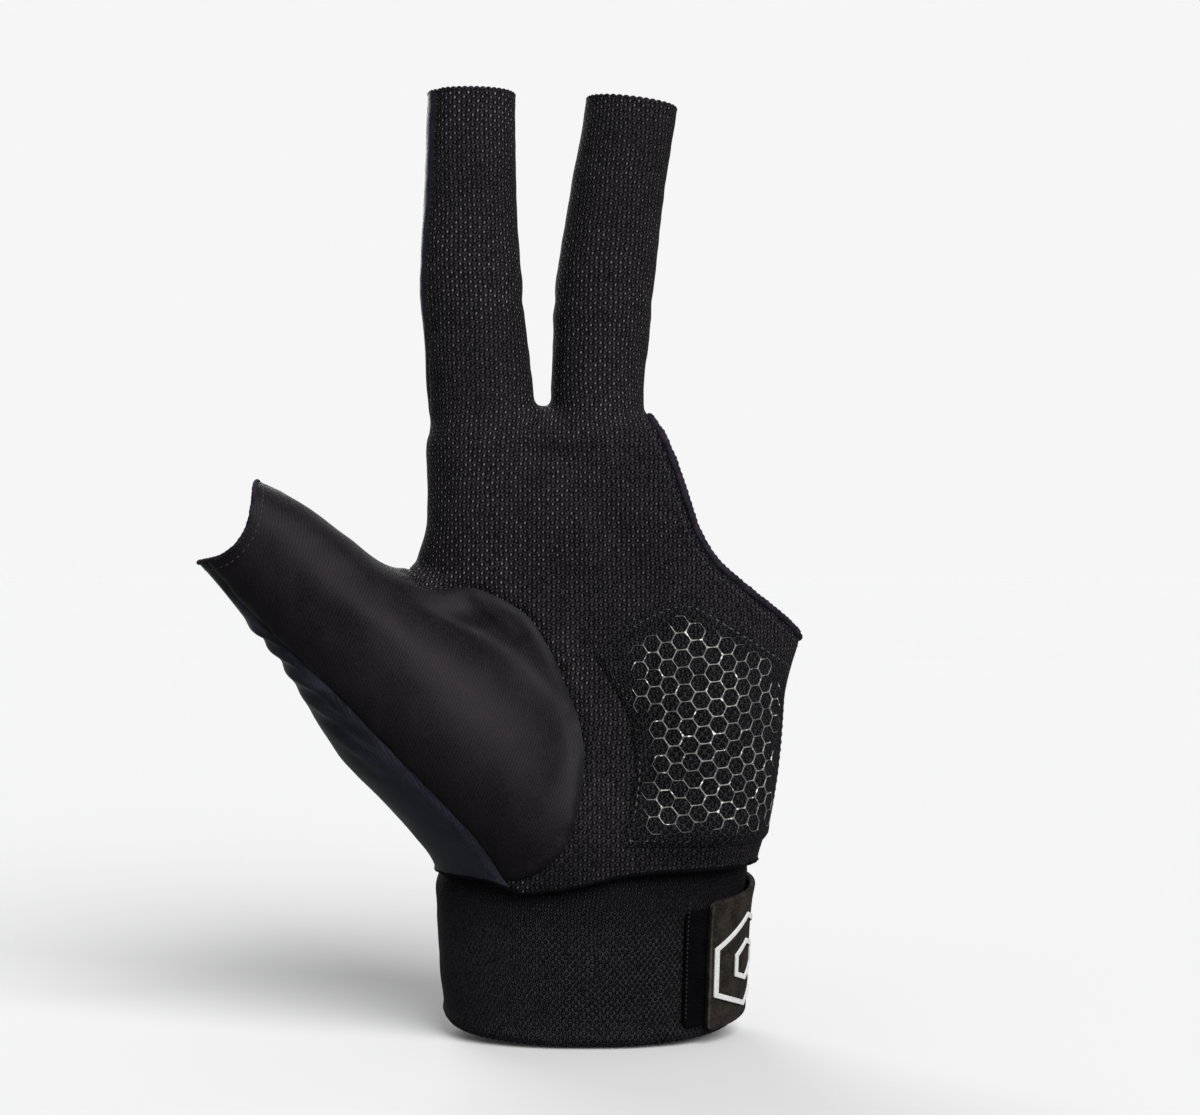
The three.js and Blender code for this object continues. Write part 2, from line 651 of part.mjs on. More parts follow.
// Flat ring or plate on the tab, with six sides
function hexagonGeometry(outerReach, innerReach, lift) {
  const share = Math.max(Math.round(outerReach / 4), 1);
  const loop = (reach) => {
    const corner = (k) => new THREE.Vector2(Math.sin((k * Math.PI) / 3), Math.cos((k * Math.PI) / 3));
    const places = [];
    for (let k = 0; k < 6 * share; k += 1) {
      const side = Math.floor(k / share);
      const at = corner(side).lerp(corner(side + 1), (k % share) / share);
      places.push(at.multiplyScalar(reach));
    }
    return places;
  };
  const loops = [loop(outerReach), loop(innerReach)];
  const points = [];
  for (const height of [lift + EMBLEM_RISE, lift]) {
    for (const places of loops) {
      points.push(...places.map((place) => emblemPoint(place.x, place.y, height)));
    }
  }
  const n = 6 * share;
  const triangles = [];
  for (let k = 0; k < n; k += 1) {
    const next = (k + 1) % n;
    const strip = (a, b) => triangles.push([a + k, b + k, b + next], [a + k, b + next, a + next]);
    strip(0, n);
    strip(n, 3 * n);
    strip(3 * n, 2 * n);
    strip(2 * n, 0);
  }
  return solid(points, triangles);
}

// Point above the palm: walks round the hand at one height from the middle of the print
function combPoint(across, height, lift) {
  const p = settleLevel(new THREE.Vector3(COMB_START.x, COMB_START.y, height));
  const walk = across - COMB_START.x;
  const strides = Math.max(Math.ceil(Math.abs(walk) / COMB_STRIDE), 1);
  for (let i = 0; i < strides; i += 1) {
    const normal = normalAt(p);
    const round = new THREE.Vector3(-normal.y, normal.x, 0).normalize();
    settleLevel(p.addScaledVector(round, walk / strides));
  }
  return p.addScaledVector(normalAt(p), lift);
}

function settleLevel(p) {
  for (let i = 0; i < 4; i += 1) {
    const uphill = slope(form, p);
    uphill.z = 0;
    p.addScaledVector(uphill, -form(p) / Math.max(uphill.lengthSq(), 1e-4));
  }
  return p;
}

// Lines of the honeycomb: the corners of the cells and the bars between them
function combLines() {
  const corners = [];
  const bars = new Set();
  const cornerAt = (across, up) => {
    const found = corners.findIndex((c) => Math.hypot(c.x - across, c.y - up) < 0.05);
    return found >= 0 ? found : corners.push(new THREE.Vector2(across, up)) - 1;
  };
  const columnStep = COMB_PITCH * Math.cos(Math.PI / 6);
  const reach = COMB_PITCH / Math.sqrt(3);
  for (let i = -COMB_SPAN; i <= COMB_SPAN; i += 1) {
    for (let j = -COMB_SPAN; j <= COMB_SPAN; j += 1) {
      const flat = new THREE.Vector2(i * columnStep, (j + (Math.abs(i) % 2) / 2) * COMB_PITCH);
      const centre = flat.rotateAround(new THREE.Vector2(), COMB_TURN);
      centre.add(new THREE.Vector2(COMB_START.x, COMB_START.z));
      const inside = centre.x > along(COMB_LEFT, 'z', centre.y, 'x')
        && centre.y < along(COMB_CROWN, 'x', centre.x, 'z')
        && centre.x < COMB_RIGHT && centre.y > COMB_FOOT;
      if (inside) {
        const ring = [0, 1, 2, 3, 4, 5].map((k) => {
          const turn = (k * Math.PI) / 3 + COMB_TURN;
          return cornerAt(centre.x + reach * Math.cos(turn), centre.y + reach * Math.sin(turn));
        });
        ring.forEach((a, k) => {
          const b = ring[(k + 1) % 6];
          bars.add(a < b ? `${a} ${b}` : `${b} ${a}`);
        });
      }
    }
  }
  return { corners, bars: [...bars].map((bar) => bar.split(' ').map(Number)) };
}

// The honeycomb as one solid: ridged bars of even width that share mitred corners
function combGeometry() {
  const { corners, bars } = combLines();
  const base = GAP + PATCH_WALL + GAP;
  const near = corners.map(() => []);
  bars.forEach(([a, b]) => {
    near[a].push(b);
    near[b].push(a);
  });
  const heading = (a, b) => Math.atan2(corners[b].y - corners[a].y, corners[b].x - corners[a].x);
  near.forEach((others, a) => others.sort((b, c) => heading(a, b) - heading(a, c)));
  const mitres = [];
  const mitreOf = new Map();
  near.forEach((others, a) => {
    others.forEach((b, i) => {
      const c = others[(i + 1) % others.length];
      const start = heading(a, b);
      const turn = (heading(a, c) - start + 4 * Math.PI) % (2 * Math.PI) || 2 * Math.PI;
      const reach = COMB_LINE / 2 / Math.sin(turn / 2);
      const way = start + turn / 2;
      const offset = new THREE.Vector2(Math.cos(way), Math.sin(way)).multiplyScalar(reach);
      mitreOf.set(`${a} ${b} left`, mitres.length);
      mitreOf.set(`${a} ${c} right`, mitres.length);
      mitres.push(corners[a].clone().add(offset));
    });
  });
  const count = mitres.length;
  const feet = mitres.map((place) => combPoint(place.x, place.y, base));
  const ridges = corners.map((place) => combPoint(place.x, place.y, base + PRINT_RISE));
  const triangles = [];
  for (const [a, b] of bars) {
    const [aRight, aLeft] = [mitreOf.get(`${a} ${b} right`), mitreOf.get(`${a} ${b} left`)];
    const [bRight, bLeft] = [mitreOf.get(`${b} ${a} right`), mitreOf.get(`${b} ${a} left`)];
    triangles.push([aRight, bLeft, count + b], [aRight, count + b, count + a]);
    triangles.push([bRight, aLeft, count + a], [bRight, count + a, count + b]);
    triangles.push([aRight, aLeft, bLeft], [aLeft, bRight, bLeft]);
  }
  near.forEach((others, a) => {
    const around = others.map((b) => mitreOf.get(`${a} ${b} left`));
    for (let i = 1; i < around.length - 1; i += 1) {
      triangles.push([around[0], around[i + 1], around[i]]);
    }
  });
  return solid([...feet, ...ridges], triangles);
}

// The skin, meshed once and trimmed to the glove's open ends
function trimmedSkin() {
  const { points, quads } = meshSkin(SKIN_BOX.low, SKIN_BOX.high, CELL);
  points.forEach((point) => settle(point, 6));
  relax(points, quads, 6);
  const skin = { points, pinned: new Set() };
  let faces = quads.flatMap((quad) => halves(points, quad));
  const inFingers = (face) => face.every((corner) => points[corner].z > FINGERS_FROM_Z);
  faces = cut(skin, faces, wristRule).keep;
  faces = cut(skin, faces, slitRule).keep;
  const isIndex = (face) => inFingers(face) && points[face[0]].x < WEB_X;
  const isMiddle = (face) => inFingers(face) && points[face[0]].x >= WEB_X;
  const others = faces.filter((face) => !inFingers(face));
  const indexTube = cut(skin, faces.filter(isIndex), indexTopRule).keep;
  const middleTube = cut(skin, faces.filter(isMiddle), middleTopRule).keep;
  const isThumb = (face) => face.every((corner) => points[corner].x < THUMB_TO_X);
  const thumbTube = cut(skin, others.filter(isThumb), thumbTopRule).keep;
  const palm = others.filter((face) => !isThumb(face));
  return { skin, faces: [...indexTube, ...middleTube, ...thumbTube, ...palm] };
}

function panelGeometries() {
  const { skin, faces } = trimmedSkin();
  const depth = cut(skin, faces, backRule);
  const webbing = cut(skin, depth.rest, webbingRule);
  const front = cut(skin, webbing.rest, thumbRule);
  const patch = patchRules.reduce((kept, rule) => cut(skin, kept, rule).keep, front.rest);
  return {
    palm_panel: thicken(skin, front.rest, PANEL_WALL),
    thumb_panel: thicken(skin, front.keep, PANEL_WALL),
    back_panel: thicken(skin, [...depth.keep, ...webbing.keep], PANEL_WALL),
    grip_patch: thicken(skin, patch, PATCH_WALL, GAP + PATCH_WALL),
  };
}

// Finishes, as the photograph shows them
const FINISH = {
  palm_panel: { color: 0x17161a, roughness: 0.85, metalness: 0 },
  thumb_panel: { color: 0x1b191c, roughness: 0.5, metalness: 0 },
  back_panel: { color: 0x232733, roughness: 0.65, metalness: 0 },
  grip_patch: { color: 0x19181c, roughness: 0.85, metalness: 0 },
  grip_hexagons: { color: 0x8b8a86, roughness: 0.35, metalness: 0 },
  wrist_cuff: { color: 0x0e0e13, roughness: 0.8, metalness: 0 },
  loop_strip: { color: 0x08080a, roughness: 0.95, metalness: 0 },
  closure_tab: { color: 0x2a2724, roughness: 0.9, metalness: 0 },
  tab_emblem: { color: 0xe8e8e6, roughness: 0.5, metalness: 0 },
  tab_emblem_core: { color: 0xe8e8e6, roughness: 0.5, metalness: 0 },
};

function buildGlove() {
  const tabBase = GAP + LOOP_WALL + GAP;
  const emblemBase = tabBase + TAB_WALL + GAP;
  const geometries = {
    ...panelGeometries(),
    grip_hexagons: combGeometry(),
    wrist_cuff: cuffGeometry(),
    loop_strip: strapGeometry(LOOP, GAP, LOOP_WALL),
    closure_tab: strapGeometry(TAB, tabBase, TAB_WALL),
    tab_emblem: hexagonGeometry(EMBLEM.reach, EMBLEM.reach - EMBLEM.line, emblemBase),
    tab_emblem_core: hexagonGeometry(EMBLEM.core, EMBLEM.core - EMBLEM.line, emblemBase),
  };
  const glove = new THREE.Group();
  for (const [name, geometry] of Object.entries(geometries)) {
    const mesh = new THREE.Mesh(geometry, new THREE.MeshStandardMaterial(FINISH[name]));
    mesh.name = name;
    glove.add(mesh);
  }
  return glove;
}

const glove = buildGlove();

export default glove;
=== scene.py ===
# %% [markdown]
# # A billiard glove, as it is worn
# This lesson dresses the plain solids of a three-finger billiard glove with its real cloths: an open
# mesh knit on the palm, satin on the thumb, smooth stretch on the back, a knitted wrist band with a
# suede tab, and a rubbery honeycomb print. We work in metres, in the frame of the solids. Most tables
# are in millimetres, because that is how a glove maker would measure them.

# %% Load the solids
import math
from collections import defaultdict
from contextlib import contextmanager

import bmesh
import bpy
import numpy as np
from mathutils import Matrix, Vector, noise
from mathutils.kdtree import KDTree


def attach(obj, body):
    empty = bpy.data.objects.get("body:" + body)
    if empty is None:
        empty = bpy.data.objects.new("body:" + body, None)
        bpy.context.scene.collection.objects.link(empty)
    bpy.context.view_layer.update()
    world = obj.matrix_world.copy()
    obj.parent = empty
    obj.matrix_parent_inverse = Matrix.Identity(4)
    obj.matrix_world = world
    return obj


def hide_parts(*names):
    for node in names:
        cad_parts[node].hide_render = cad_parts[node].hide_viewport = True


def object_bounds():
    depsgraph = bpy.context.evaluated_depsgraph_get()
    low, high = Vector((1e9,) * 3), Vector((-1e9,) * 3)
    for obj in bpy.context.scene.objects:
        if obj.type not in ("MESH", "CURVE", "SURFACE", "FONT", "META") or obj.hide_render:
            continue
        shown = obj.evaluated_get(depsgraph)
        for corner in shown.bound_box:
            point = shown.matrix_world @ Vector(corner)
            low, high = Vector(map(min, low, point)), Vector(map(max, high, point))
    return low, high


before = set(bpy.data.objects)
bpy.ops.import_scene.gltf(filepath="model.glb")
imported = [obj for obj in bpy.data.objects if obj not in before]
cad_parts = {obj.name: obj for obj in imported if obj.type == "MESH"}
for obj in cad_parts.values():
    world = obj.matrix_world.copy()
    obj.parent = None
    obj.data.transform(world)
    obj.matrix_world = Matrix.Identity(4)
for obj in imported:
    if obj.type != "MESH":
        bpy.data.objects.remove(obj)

MM = 0.001
cad_box = [list(corner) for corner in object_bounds()]
print("solids:", sorted(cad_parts), "box:", cad_box)

# %% [markdown]
# ## One piece at a time
# An operator acts on all that is selected, and the solids are selected once they are loaded. So each
# step picks one piece alone, and a small helper opens it for editing and closes it again. Corners are
# read and set as one array, which is far quicker than one by one.


# %% Helpers
def pick(*pieces):
    """Selects these pieces alone; the first is the active one."""
    bpy.ops.object.select_all(action="DESELECT")
    for piece in pieces:
        piece.select_set(True)
    bpy.context.view_layer.objects.active = pieces[0]


@contextmanager
def editing(piece):
    """Opens a piece in edit mode, with all of it selected."""
    pick(piece)
    bpy.ops.object.mode_set(mode="EDIT")
    bpy.ops.mesh.select_all(action="SELECT")
    yield
    bpy.ops.object.mode_set(mode="OBJECT")


def face_out(piece):
    with editing(piece):
        bpy.ops.mesh.normals_make_consistent(inside=False)


def smooth_below(degrees):
    bpy.ops.object.shade_smooth_by_angle(angle=math.radians(degrees))


def apply_modifier(piece, kind, **settings):
    pick(piece)
    modifier = piece.modifiers.new(kind, kind)
    for key, value in settings.items():
        setattr(modifier, key, value)
    bpy.ops.object.modifier_apply(modifier=modifier.name)


def named(name):
    """Names the primitive that was just added."""
    piece = bpy.context.object
    piece.name = piece.data.name = name
    return piece


def points_of(piece):
    """Corners of a mesh, in millimetres."""
    flat = np.empty(len(piece.data.vertices) * 3)
    piece.data.vertices.foreach_get("co", flat)
    return flat.reshape(-1, 3) / MM


def set_points(piece, p):
    piece.data.vertices.foreach_set("co", (np.asarray(p) * MM).ravel())
    piece.data.update()


def unit(rows):
    """Arrows brought to length one."""
    return rows / np.linalg.norm(rows, axis=1)[:, None]


def turned(a, b, degrees):
    """Two coordinates turned round their origin."""
    c, s = math.cos(math.radians(degrees)), math.sin(math.radians(degrees))
    return a * c - b * s, a * s + b * c


bpy.ops.object.select_all(action="DESELECT")

# %% [markdown]
# ## Camera
# The photographer stood about half a metre from the palm, level with the middle of the hand. The lens
# is long enough for the fingers to stay straight: half of the picture's width is 132 mm at 480 mm.

# %% Camera
AWAY, HALF_WIDTH = 0.48, 0.132
bpy.ops.object.camera_add(location=(0.0011, -AWAY, 0.06985), rotation=(math.radians(90), 0, 0))
camera = bpy.context.object
camera.name = "camera"
camera.data.sensor_width = 36
camera.data.lens = 36 / 2 * AWAY / HALF_WIDTH
camera.data.clip_start, camera.data.clip_end = 0.01, 10
bpy.context.scene.camera = camera
print("lens:", round(camera.data.lens, 1), "mm")

# %% [markdown]
# ## Sizes of the hand
# The glove follows the hand in it, so its shape is a set of sections: at each height a left, a right,
# a front and a back edge, in millimetres. The palm, the two fingers and the thumb have a table each.
# The thumb's table runs along its own slanted line. Folds and swellings are added afterwards.


# %% Sections, in millimetres
def table(*rows):
    return np.array(rows, float)


PALM = table(
    (-20, -33.5, 33, -20.5, 22.5), (-6, -34.6, 33.6, -21.6, 21.6), (4, -35.2, 33.8, -22.2, 20.2),
    (12, -36.4, 34.4, -21.2, 18.4), (19, -37.6, 36.2, -19.6, 17.2), (30, -39.4, 38.9, -17.6, 16),
    (41, -40.2, 41.4, -16, 15.5), (51, -40.6, 44.6, -14.8, 15), (61, -40.4, 46.4, -14, 14.5),
    (70, -38.9, 46.7, -14.2, 14), (78, -36.4, 46.2, -14.6, 13.5), (86, -35.4, 43.5, -14.2, 13),
    (93, -34.8, 38, -13, 12),
)
INDEX = table(
    (60, -33, -12, -12, 10.5), (95, -35.6, -12.8, -11.5, 10.5), (107, -36.9, -14, -10.6, 10),
    (118, -37.5, -15.1, -10.2, 9.8), (128, -38.5, -16, -10.4, 9.6), (149, -37.6, -17.3, -9.2, 8.6),
    (171, -36.8, -17.6, -8.4, 7.6), (186, -36.4, -18, -8, 7),
)
MIDDLE = table(
    (60, -10, 11, -12, 10.5), (95, -9.9, 11, -11.5, 10.5), (107, -9.6, 10.7, -10.6, 10),
    (118, -9.2, 11.9, -10.2, 9.8), (128, -8.9, 12.8, -10.4, 9.6), (149, -5.6, 15.1, -9.4, 8.6),
    (167, -2.4, 17.9, -8.6, 7.8), (186, 0.4, 21, -8.2, 7.2),
)
THUMB = table(
    (-34, -13, 14, -20, 16), (-18, -18.2, 20, -24, 15.5), (-4, -18.7, 21.5, -26.2, 14.5),
    (9, -19.2, 21, -26.2, 13), (17, -17.6, 19.6, -25.4, 11.5), (28, -14.4, 18.2, -23.4, 9),
    (34, -13, 17.4, -22.2, 7.6), (43, -11.6, 16.8, -21, 5.8), (56, -9.7, 15.3, -19.4, 3.6),
    (66, -9, 12.5, -18.2, 2.6), (76, -9.4, 9.8, -16.8, 1.6),
)
PALM_CAP, FINGER_CAP, THUMB_CAP = 7.6, 6, 10  # how far the round ends reach past the tables
THUMB_ROOT = np.array([-33.5, 0, 32.5])
THUMB_TURN = math.radians(43)
THUMB_ALONG = np.array([-math.cos(THUMB_TURN), 0, math.sin(THUMB_TURN)])
THUMB_ACROSS = np.array([math.sin(THUMB_TURN), 0, math.cos(THUMB_TURN)])
# x, y, z, half lengths along, across and deep, the turn above -X in degrees, and the blend
SWELLINGS = table(
    (-27, -9, 27, 29, 17, 17.5, 43, 9), (22, -6, 28, 34, 13, 14, 90, 10), (-11.6, 0, 99.6, 4, 3, 8, 0, 3),
)
# x, z, turn, length, width, rise, and the side: -1 is the palm's
FOLDS = table(
    (-66, 63, 47, 9, 3, 1.2, 1), (-57, 50, 38, 10, 3.2, 1.3, 1), (-50, 60, 32, 13, 4, 0.8, -1),
    (-28, 54, 26, 9, 3, -1, -1), (3, 76, 62, 16, 4.5, -0.8, -1), (-10, 92, 15, 10, 3, -0.7, -1),
    (-4, 40, 100, 20, 5, -1.4, -1), (20, 5, 0, 16, 3, -1.2, -1),
)
print("sections:", [len(rows) for rows in (PALM, INDEX, MIDDLE, THUMB)])

# %% [markdown]
# ## The form
# A sculptor would push clay until it fits the hand. We write the same thing as a sum: each table makes
# a loft, and a small blend joins one loft to the next, as cloth bridges the crotch between two
# fingers. The number is about how far a point lies outside the cloth, so zero is the cloth itself.


# %% The form as a sum
def along(rows, at, column=1):
    """Value of a column at a place, on a smooth curve through the rows."""
    key, value = rows[:, 0], rows[:, column]
    rank = np.arange(len(key))
    before, after = np.maximum(rank - 1, 0), np.minimum(rank + 1, rank[-1])
    steep = (value[after] - value[before]) / (key[after] - key[before])
    at = np.clip(at, key[0], key[-1])
    i = np.clip(np.searchsorted(key, at) - 1, 0, rank[-2])
    span = key[i + 1] - key[i]
    t = (at - key[i]) / span
    smooth = (2 * t**3 - 3 * t**2 + 1) * value[i] + (3 * t**2 - 2 * t**3) * value[i + 1]
    return smooth + (t**3 - 2 * t**2 + t) * span * steep[i] + (t**3 - t**2) * span * steep[i + 1]


def section(rows, at):
    """Middle and half size of a section, across the hand and through it."""
    left, right, front, back = (along(rows, at, column) for column in (1, 2, 3, 4))
    return (left + right) / 2, (right - left) / 2, (front + back) / 2, (back - front) / 2


def loft(x, y, z, rows, power, cap):
    """How far points lie outside a loft; power 2 makes ellipses and a higher one squarer rings."""
    middle_x, wide, middle_y, deep = section(rows, z)
    past = np.maximum(z - rows[-1, 0], 0) + np.maximum(rows[0, 0] - z, 0)
    across = np.abs((x - middle_x) / wide) ** power
    through = np.abs((y - middle_y) / deep) ** power
    return ((across + through + (past / cap) ** power) ** (1 / power) - 1) * np.minimum(wide, deep)


def blend(a, b, width):
    near = np.maximum(width - np.abs(a - b), 0) / width
    return np.minimum(a, b) - near * near * width / 4


def smoothstep(value, low, high):
    t = np.clip((value - low) / (high - low), 0, 1)
    return t * t * (3 - 2 * t)


def ridges(p, rows):
    """Soft ridges and dents laid on the cloth, each a long oval hump."""
    rise = np.zeros(len(p))
    for x, z, turn, long, wide, high, side in rows:
        a, b = turned(p[:, 0] - x, p[:, 2] - z, turn)
        rise += high * smoothstep(side * p[:, 1], -12, 6) * np.exp(-((a / long) ** 2) - (b / wide) ** 2)
    return rise


def form(p):
    x, y, z = p.T
    fingers = blend(loft(x, y, z, INDEX, 2.2, FINGER_CAP), loft(x, y, z, MIDDLE, 2.2, FINGER_CAP), 3)
    skin = blend(loft(x, y, z, PALM, 2.5, PALM_CAP), fingers, 4)
    for sx, sy, sz, long, wide, deep, turn, width in SWELLINGS:
        a, b = turned(x - sx, z - sz, turn)
        reach = np.sqrt((a / long) ** 2 + (b / wide) ** 2 + ((y - sy) / deep) ** 2)
        skin = blend(skin, (reach - 1) * min(long, wide, deep), width)
    root = p - THUMB_ROOT
    thumb = loft(root @ THUMB_ACROSS, y, root @ THUMB_ALONG, THUMB, 2.3, THUMB_CAP)
    webbing = np.exp(-((x + 32.5) ** 2 + (z - 60.5) ** 2) / 60)
    return blend(skin, thumb, 5 + 6 * webbing) - ridges(p, FOLDS)


# %% [markdown]
# A point slides onto the cloth by steps down the form's slope, which is how a shrinkwrap works too.


# %% Slide points onto the cloth
def slope(rule, p, step=0.2):
    return np.stack([(rule(p + s) - rule(p - s)) / (2 * step) for s in np.eye(3) * step], axis=1)


def normals(p):
    return unit(slope(form, p))


def settle(p, times=3, free=(1, 1, 1)):
    """Slides points onto the cloth, along the free axes only."""
    for _ in range(times):
        uphill = slope(form, p) * free
        p = p - (form(p) / np.maximum((uphill**2).sum(1), 1e-4))[:, None] * uphill
    return p


# %% [markdown]
# ## Rough body
# A hand is roughly a few stretched balls: four capsules for the palm, two fingers and the thumb, and
# two for the pads of the palm. A ball keeps even faces all round, also over its ends.


# %% Stretched balls
def rough_loft(name, rows, cap, root=np.zeros(3), across=np.array([1, 0, 0]), up=np.array([0, 0, 1])):
    bpy.ops.mesh.primitive_uv_sphere_add(segments=48, ring_count=40, radius=1)
    ball = named(name)
    place = points_of(ball) * MM
    middle, half = (rows[0, 0] + rows[-1, 0]) / 2, (rows[-1, 0] - rows[0, 0]) / 2 + cap
    z = middle + place[:, 2] * half
    past = np.maximum(np.abs(z - middle) - (half - cap), 0) / cap
    ring = place[:, :2] / np.maximum(np.hypot(*place[:, :2].T), 1e-6)[:, None]
    ring *= np.sqrt(np.maximum(1 - past**2, 0))[:, None]
    middle_x, wide, middle_y, deep = section(rows, z)
    flat = np.outer(middle_x + ring[:, 0] * wide, across) + np.outer(z, up)
    set_points(ball, root + flat + np.outer(middle_y + ring[:, 1] * deep, [0, 1, 0]))
    return ball


def rough_ball(name, row):
    x, y, z, long, wide, deep, turn, _ = row
    bpy.ops.mesh.primitive_uv_sphere_add(segments=32, ring_count=24, radius=1)
    ball = named(name)
    place = points_of(ball) * MM
    back, up = turned(place[:, 0] * long, place[:, 2] * wide, turn)
    set_points(ball, np.stack([x - back, y + place[:, 1] * deep, z + up], axis=1))
    return ball


balls = [
    rough_loft("rough_palm", PALM, PALM_CAP),
    rough_loft("rough_index", INDEX, FINGER_CAP),
    rough_loft("rough_middle", MIDDLE, FINGER_CAP),
    rough_loft("rough_thumb", THUMB, THUMB_CAP, THUMB_ROOT, THUMB_ACROSS, THUMB_ALONG),
    rough_ball("rough_thumb_pad", SWELLINGS[0]),
    rough_ball("rough_heel_pad", SWELLINGS[1]),
]
for ball in balls:
    face_out(ball)
print("balls:", [len(ball.data.polygons) for ball in balls], "faces")

# %% [markdown]
# Voxel remesh welds the overlapping balls into one skin of even squares, which is what we want before
# cutting cloth out of it. The skin is smoothed and slid onto the form in turn, gently at the end, so
# that no face folds over in the deep valley beside the thumb.

# %% Weld the balls and slide the skin onto the form
WEAVE_CELL = 0.8  # mm between corners of the skin

pick(*balls)
bpy.ops.object.join()
skin = named("skin")
skin.data.remesh_voxel_size = WEAVE_CELL * MM
bpy.ops.object.voxel_remesh()
for repeat, rounds in ((24, 1), (16, 1), (8, 1), (5, 2), (3, 2)):
    with editing(skin):
        bpy.ops.mesh.remove_doubles(threshold=0.3 * MM)
        bpy.ops.mesh.vertices_smooth(factor=0.5, repeat=repeat)
    set_points(skin, settle(points_of(skin), rounds))
off = np.abs(form(points_of(skin))).max()
print("skin:", len(skin.data.vertices), "corners, off by", round(float(off), 3), "mm")

# %% [markdown]
# ## Seams
# A cutter draws the seams as curves on paper. Each rule below is such a curve, and is positive on the
# side that is kept or named first: the slit that frees the ring and little fingers, the three open
# ends, the wrist, the seam round the sides, the seam round the ball of the thumb, and the edge of the
# thumb's satin.

# %% Seam curves
SLIT = table(
    (40, 48.2), (46, 47), (49, 46.3), (51, 45.6), (53, 44.5), (55, 42.9), (58.1, 39.2), (61.6, 34.5),
    (65, 30.4), (68.5, 26.3), (75.3, 22), (82, 19.7), (89, 17.4), (96, 14.6), (99, 12.9), (101, 12),
    (104, 12), (108, 12.8), (112, 13.6), (127, 15.6), (150, 22), (190, 34),
)
THUMB_SEAM = table(
    (-90, 32.5), (-67, 34), (-62, 35.5), (-52, 36.2), (-41, 35.6), (-27, 33.2), (-11, 31), (1, 29.6),
    (18, 28.2), (38, 28.8), (54, 30.4), (64, 30.6), (78, 31), (90, 30.4), (95, 30.5), (99, 31.4),
    (102, 33.5), (105, 38), (112, 44),
)
WEBBING_SEAM = table(
    (-6, -12.5), (2, -19.4), (10, -24.6), (20, -33.6), (30, -43.5), (42, -55.6), (50, -65), (58.6, -74.4),
    (68, -82.6), (76, -90.5),
)
WRIST_SEAM = table(
    (-45, 2.2), (-35, 2.2), (-25, 1.9), (-20, 1), (-17, -0.8), (-12, -0.6), (-3, 0.8), (7, 3), (24, 4),
    (35, 4.4), (45, 4.4),
)
OUTER_SEAM = table((60, 1), (88, 0.2), (104, -3.2), (122, -5.3), (150, -5.9), (180, -5.9))
THUMB_TOP_SEAM = table((-90, 7.5), (-76, 6), (-60, 3), (-48, 0.6), (-42, 0))
PATCH_LEFT = table(
    (4, 5.4), (8, 5.9), (19, 7.7), (26, 8.4), (36, 7.2), (43, 3.6), (49.2, -0.2), (53, -2.5),
)
PATCH_TOP = table(
    (-4, 45.6), (-0.2, 49.2), (5.5, 54.4), (11.5, 58.2), (20.2, 60.6), (29.3, 55.6), (44, 46.4),
)


def slit_rule(p):
    return (along(SLIT, p[:, 2]) - p[:, 0]) * 0.8


def index_top_rule(p):
    return 171.4 - p[:, 2]


def middle_top_rule(p):
    return 169.2 - 0.12 * (p[:, 0] - 8.5) - p[:, 2]


def thumb_top_rule(p):
    root = p - THUMB_ROOT
    return 58 + 0.052 * (root @ THUMB_ACROSS - 0.5) ** 2 - root @ THUMB_ALONG


def wrist_rule(p):
    to_back = smoothstep(p[:, 1], -8, 8)
    return p[:, 2] - (along(WRIST_SEAM, p[:, 0]) * (1 - to_back) + 3 * to_back)


def back_rule(p):
    outer = smoothstep(-p[:, 0], 24, 30)
    upright = 2.5 * (1 - outer) + along(OUTER_SEAM, p[:, 2]) * outer
    return p[:, 1] - upright + along(THUMB_TOP_SEAM, p[:, 0])


def webbing_rule(p):
    return (along(WEBBING_SEAM, p[:, 2]) - p[:, 0]) * 0.7


def thumb_rule(p):
    dx, dz = p[:, 0] + 32.6, p[:, 2] - 33.0
    angle = np.degrees(np.arctan2(dz, dx))
    beyond = np.where((angle > 112) | (angle < -90), 60, 0)
    return along(THUMB_SEAM, angle) + beyond - np.hypot(dx, dz)


patch_rules = [
    lambda p: -6 - p[:, 1],
    lambda p: p[:, 0] - along(PATCH_LEFT, p[:, 2]),
    lambda p: (along(PATCH_TOP, p[:, 0]) - p[:, 2]) * 0.8,
    lambda p: p[:, 2] - 9,
]

# %% [markdown]
# ## Scoring the skin
# The knife tool needs a mouse, so we do by code what it does: near corners are moved onto the curve,
# edges that cross it get a new corner there, and these corners are joined across the faces. The cut
# is a clean chain of edges that both panels share, so no gap can open between them.


# %% Knife along a rule
def seat_on_seam(p, rule):
    for _ in range(4):
        normal = normals(p)
        uphill = slope(rule, p)
        uphill -= (uphill * normal).sum(1)[:, None] * normal
        step = -(rule(p) / np.maximum((uphill**2).sum(1), 0.1))[:, None] * uphill
        step *= np.minimum(1, 1 / np.maximum(np.linalg.norm(step, axis=1), 1e-9))[:, None]
        p = settle(p + step, 1)
    return p


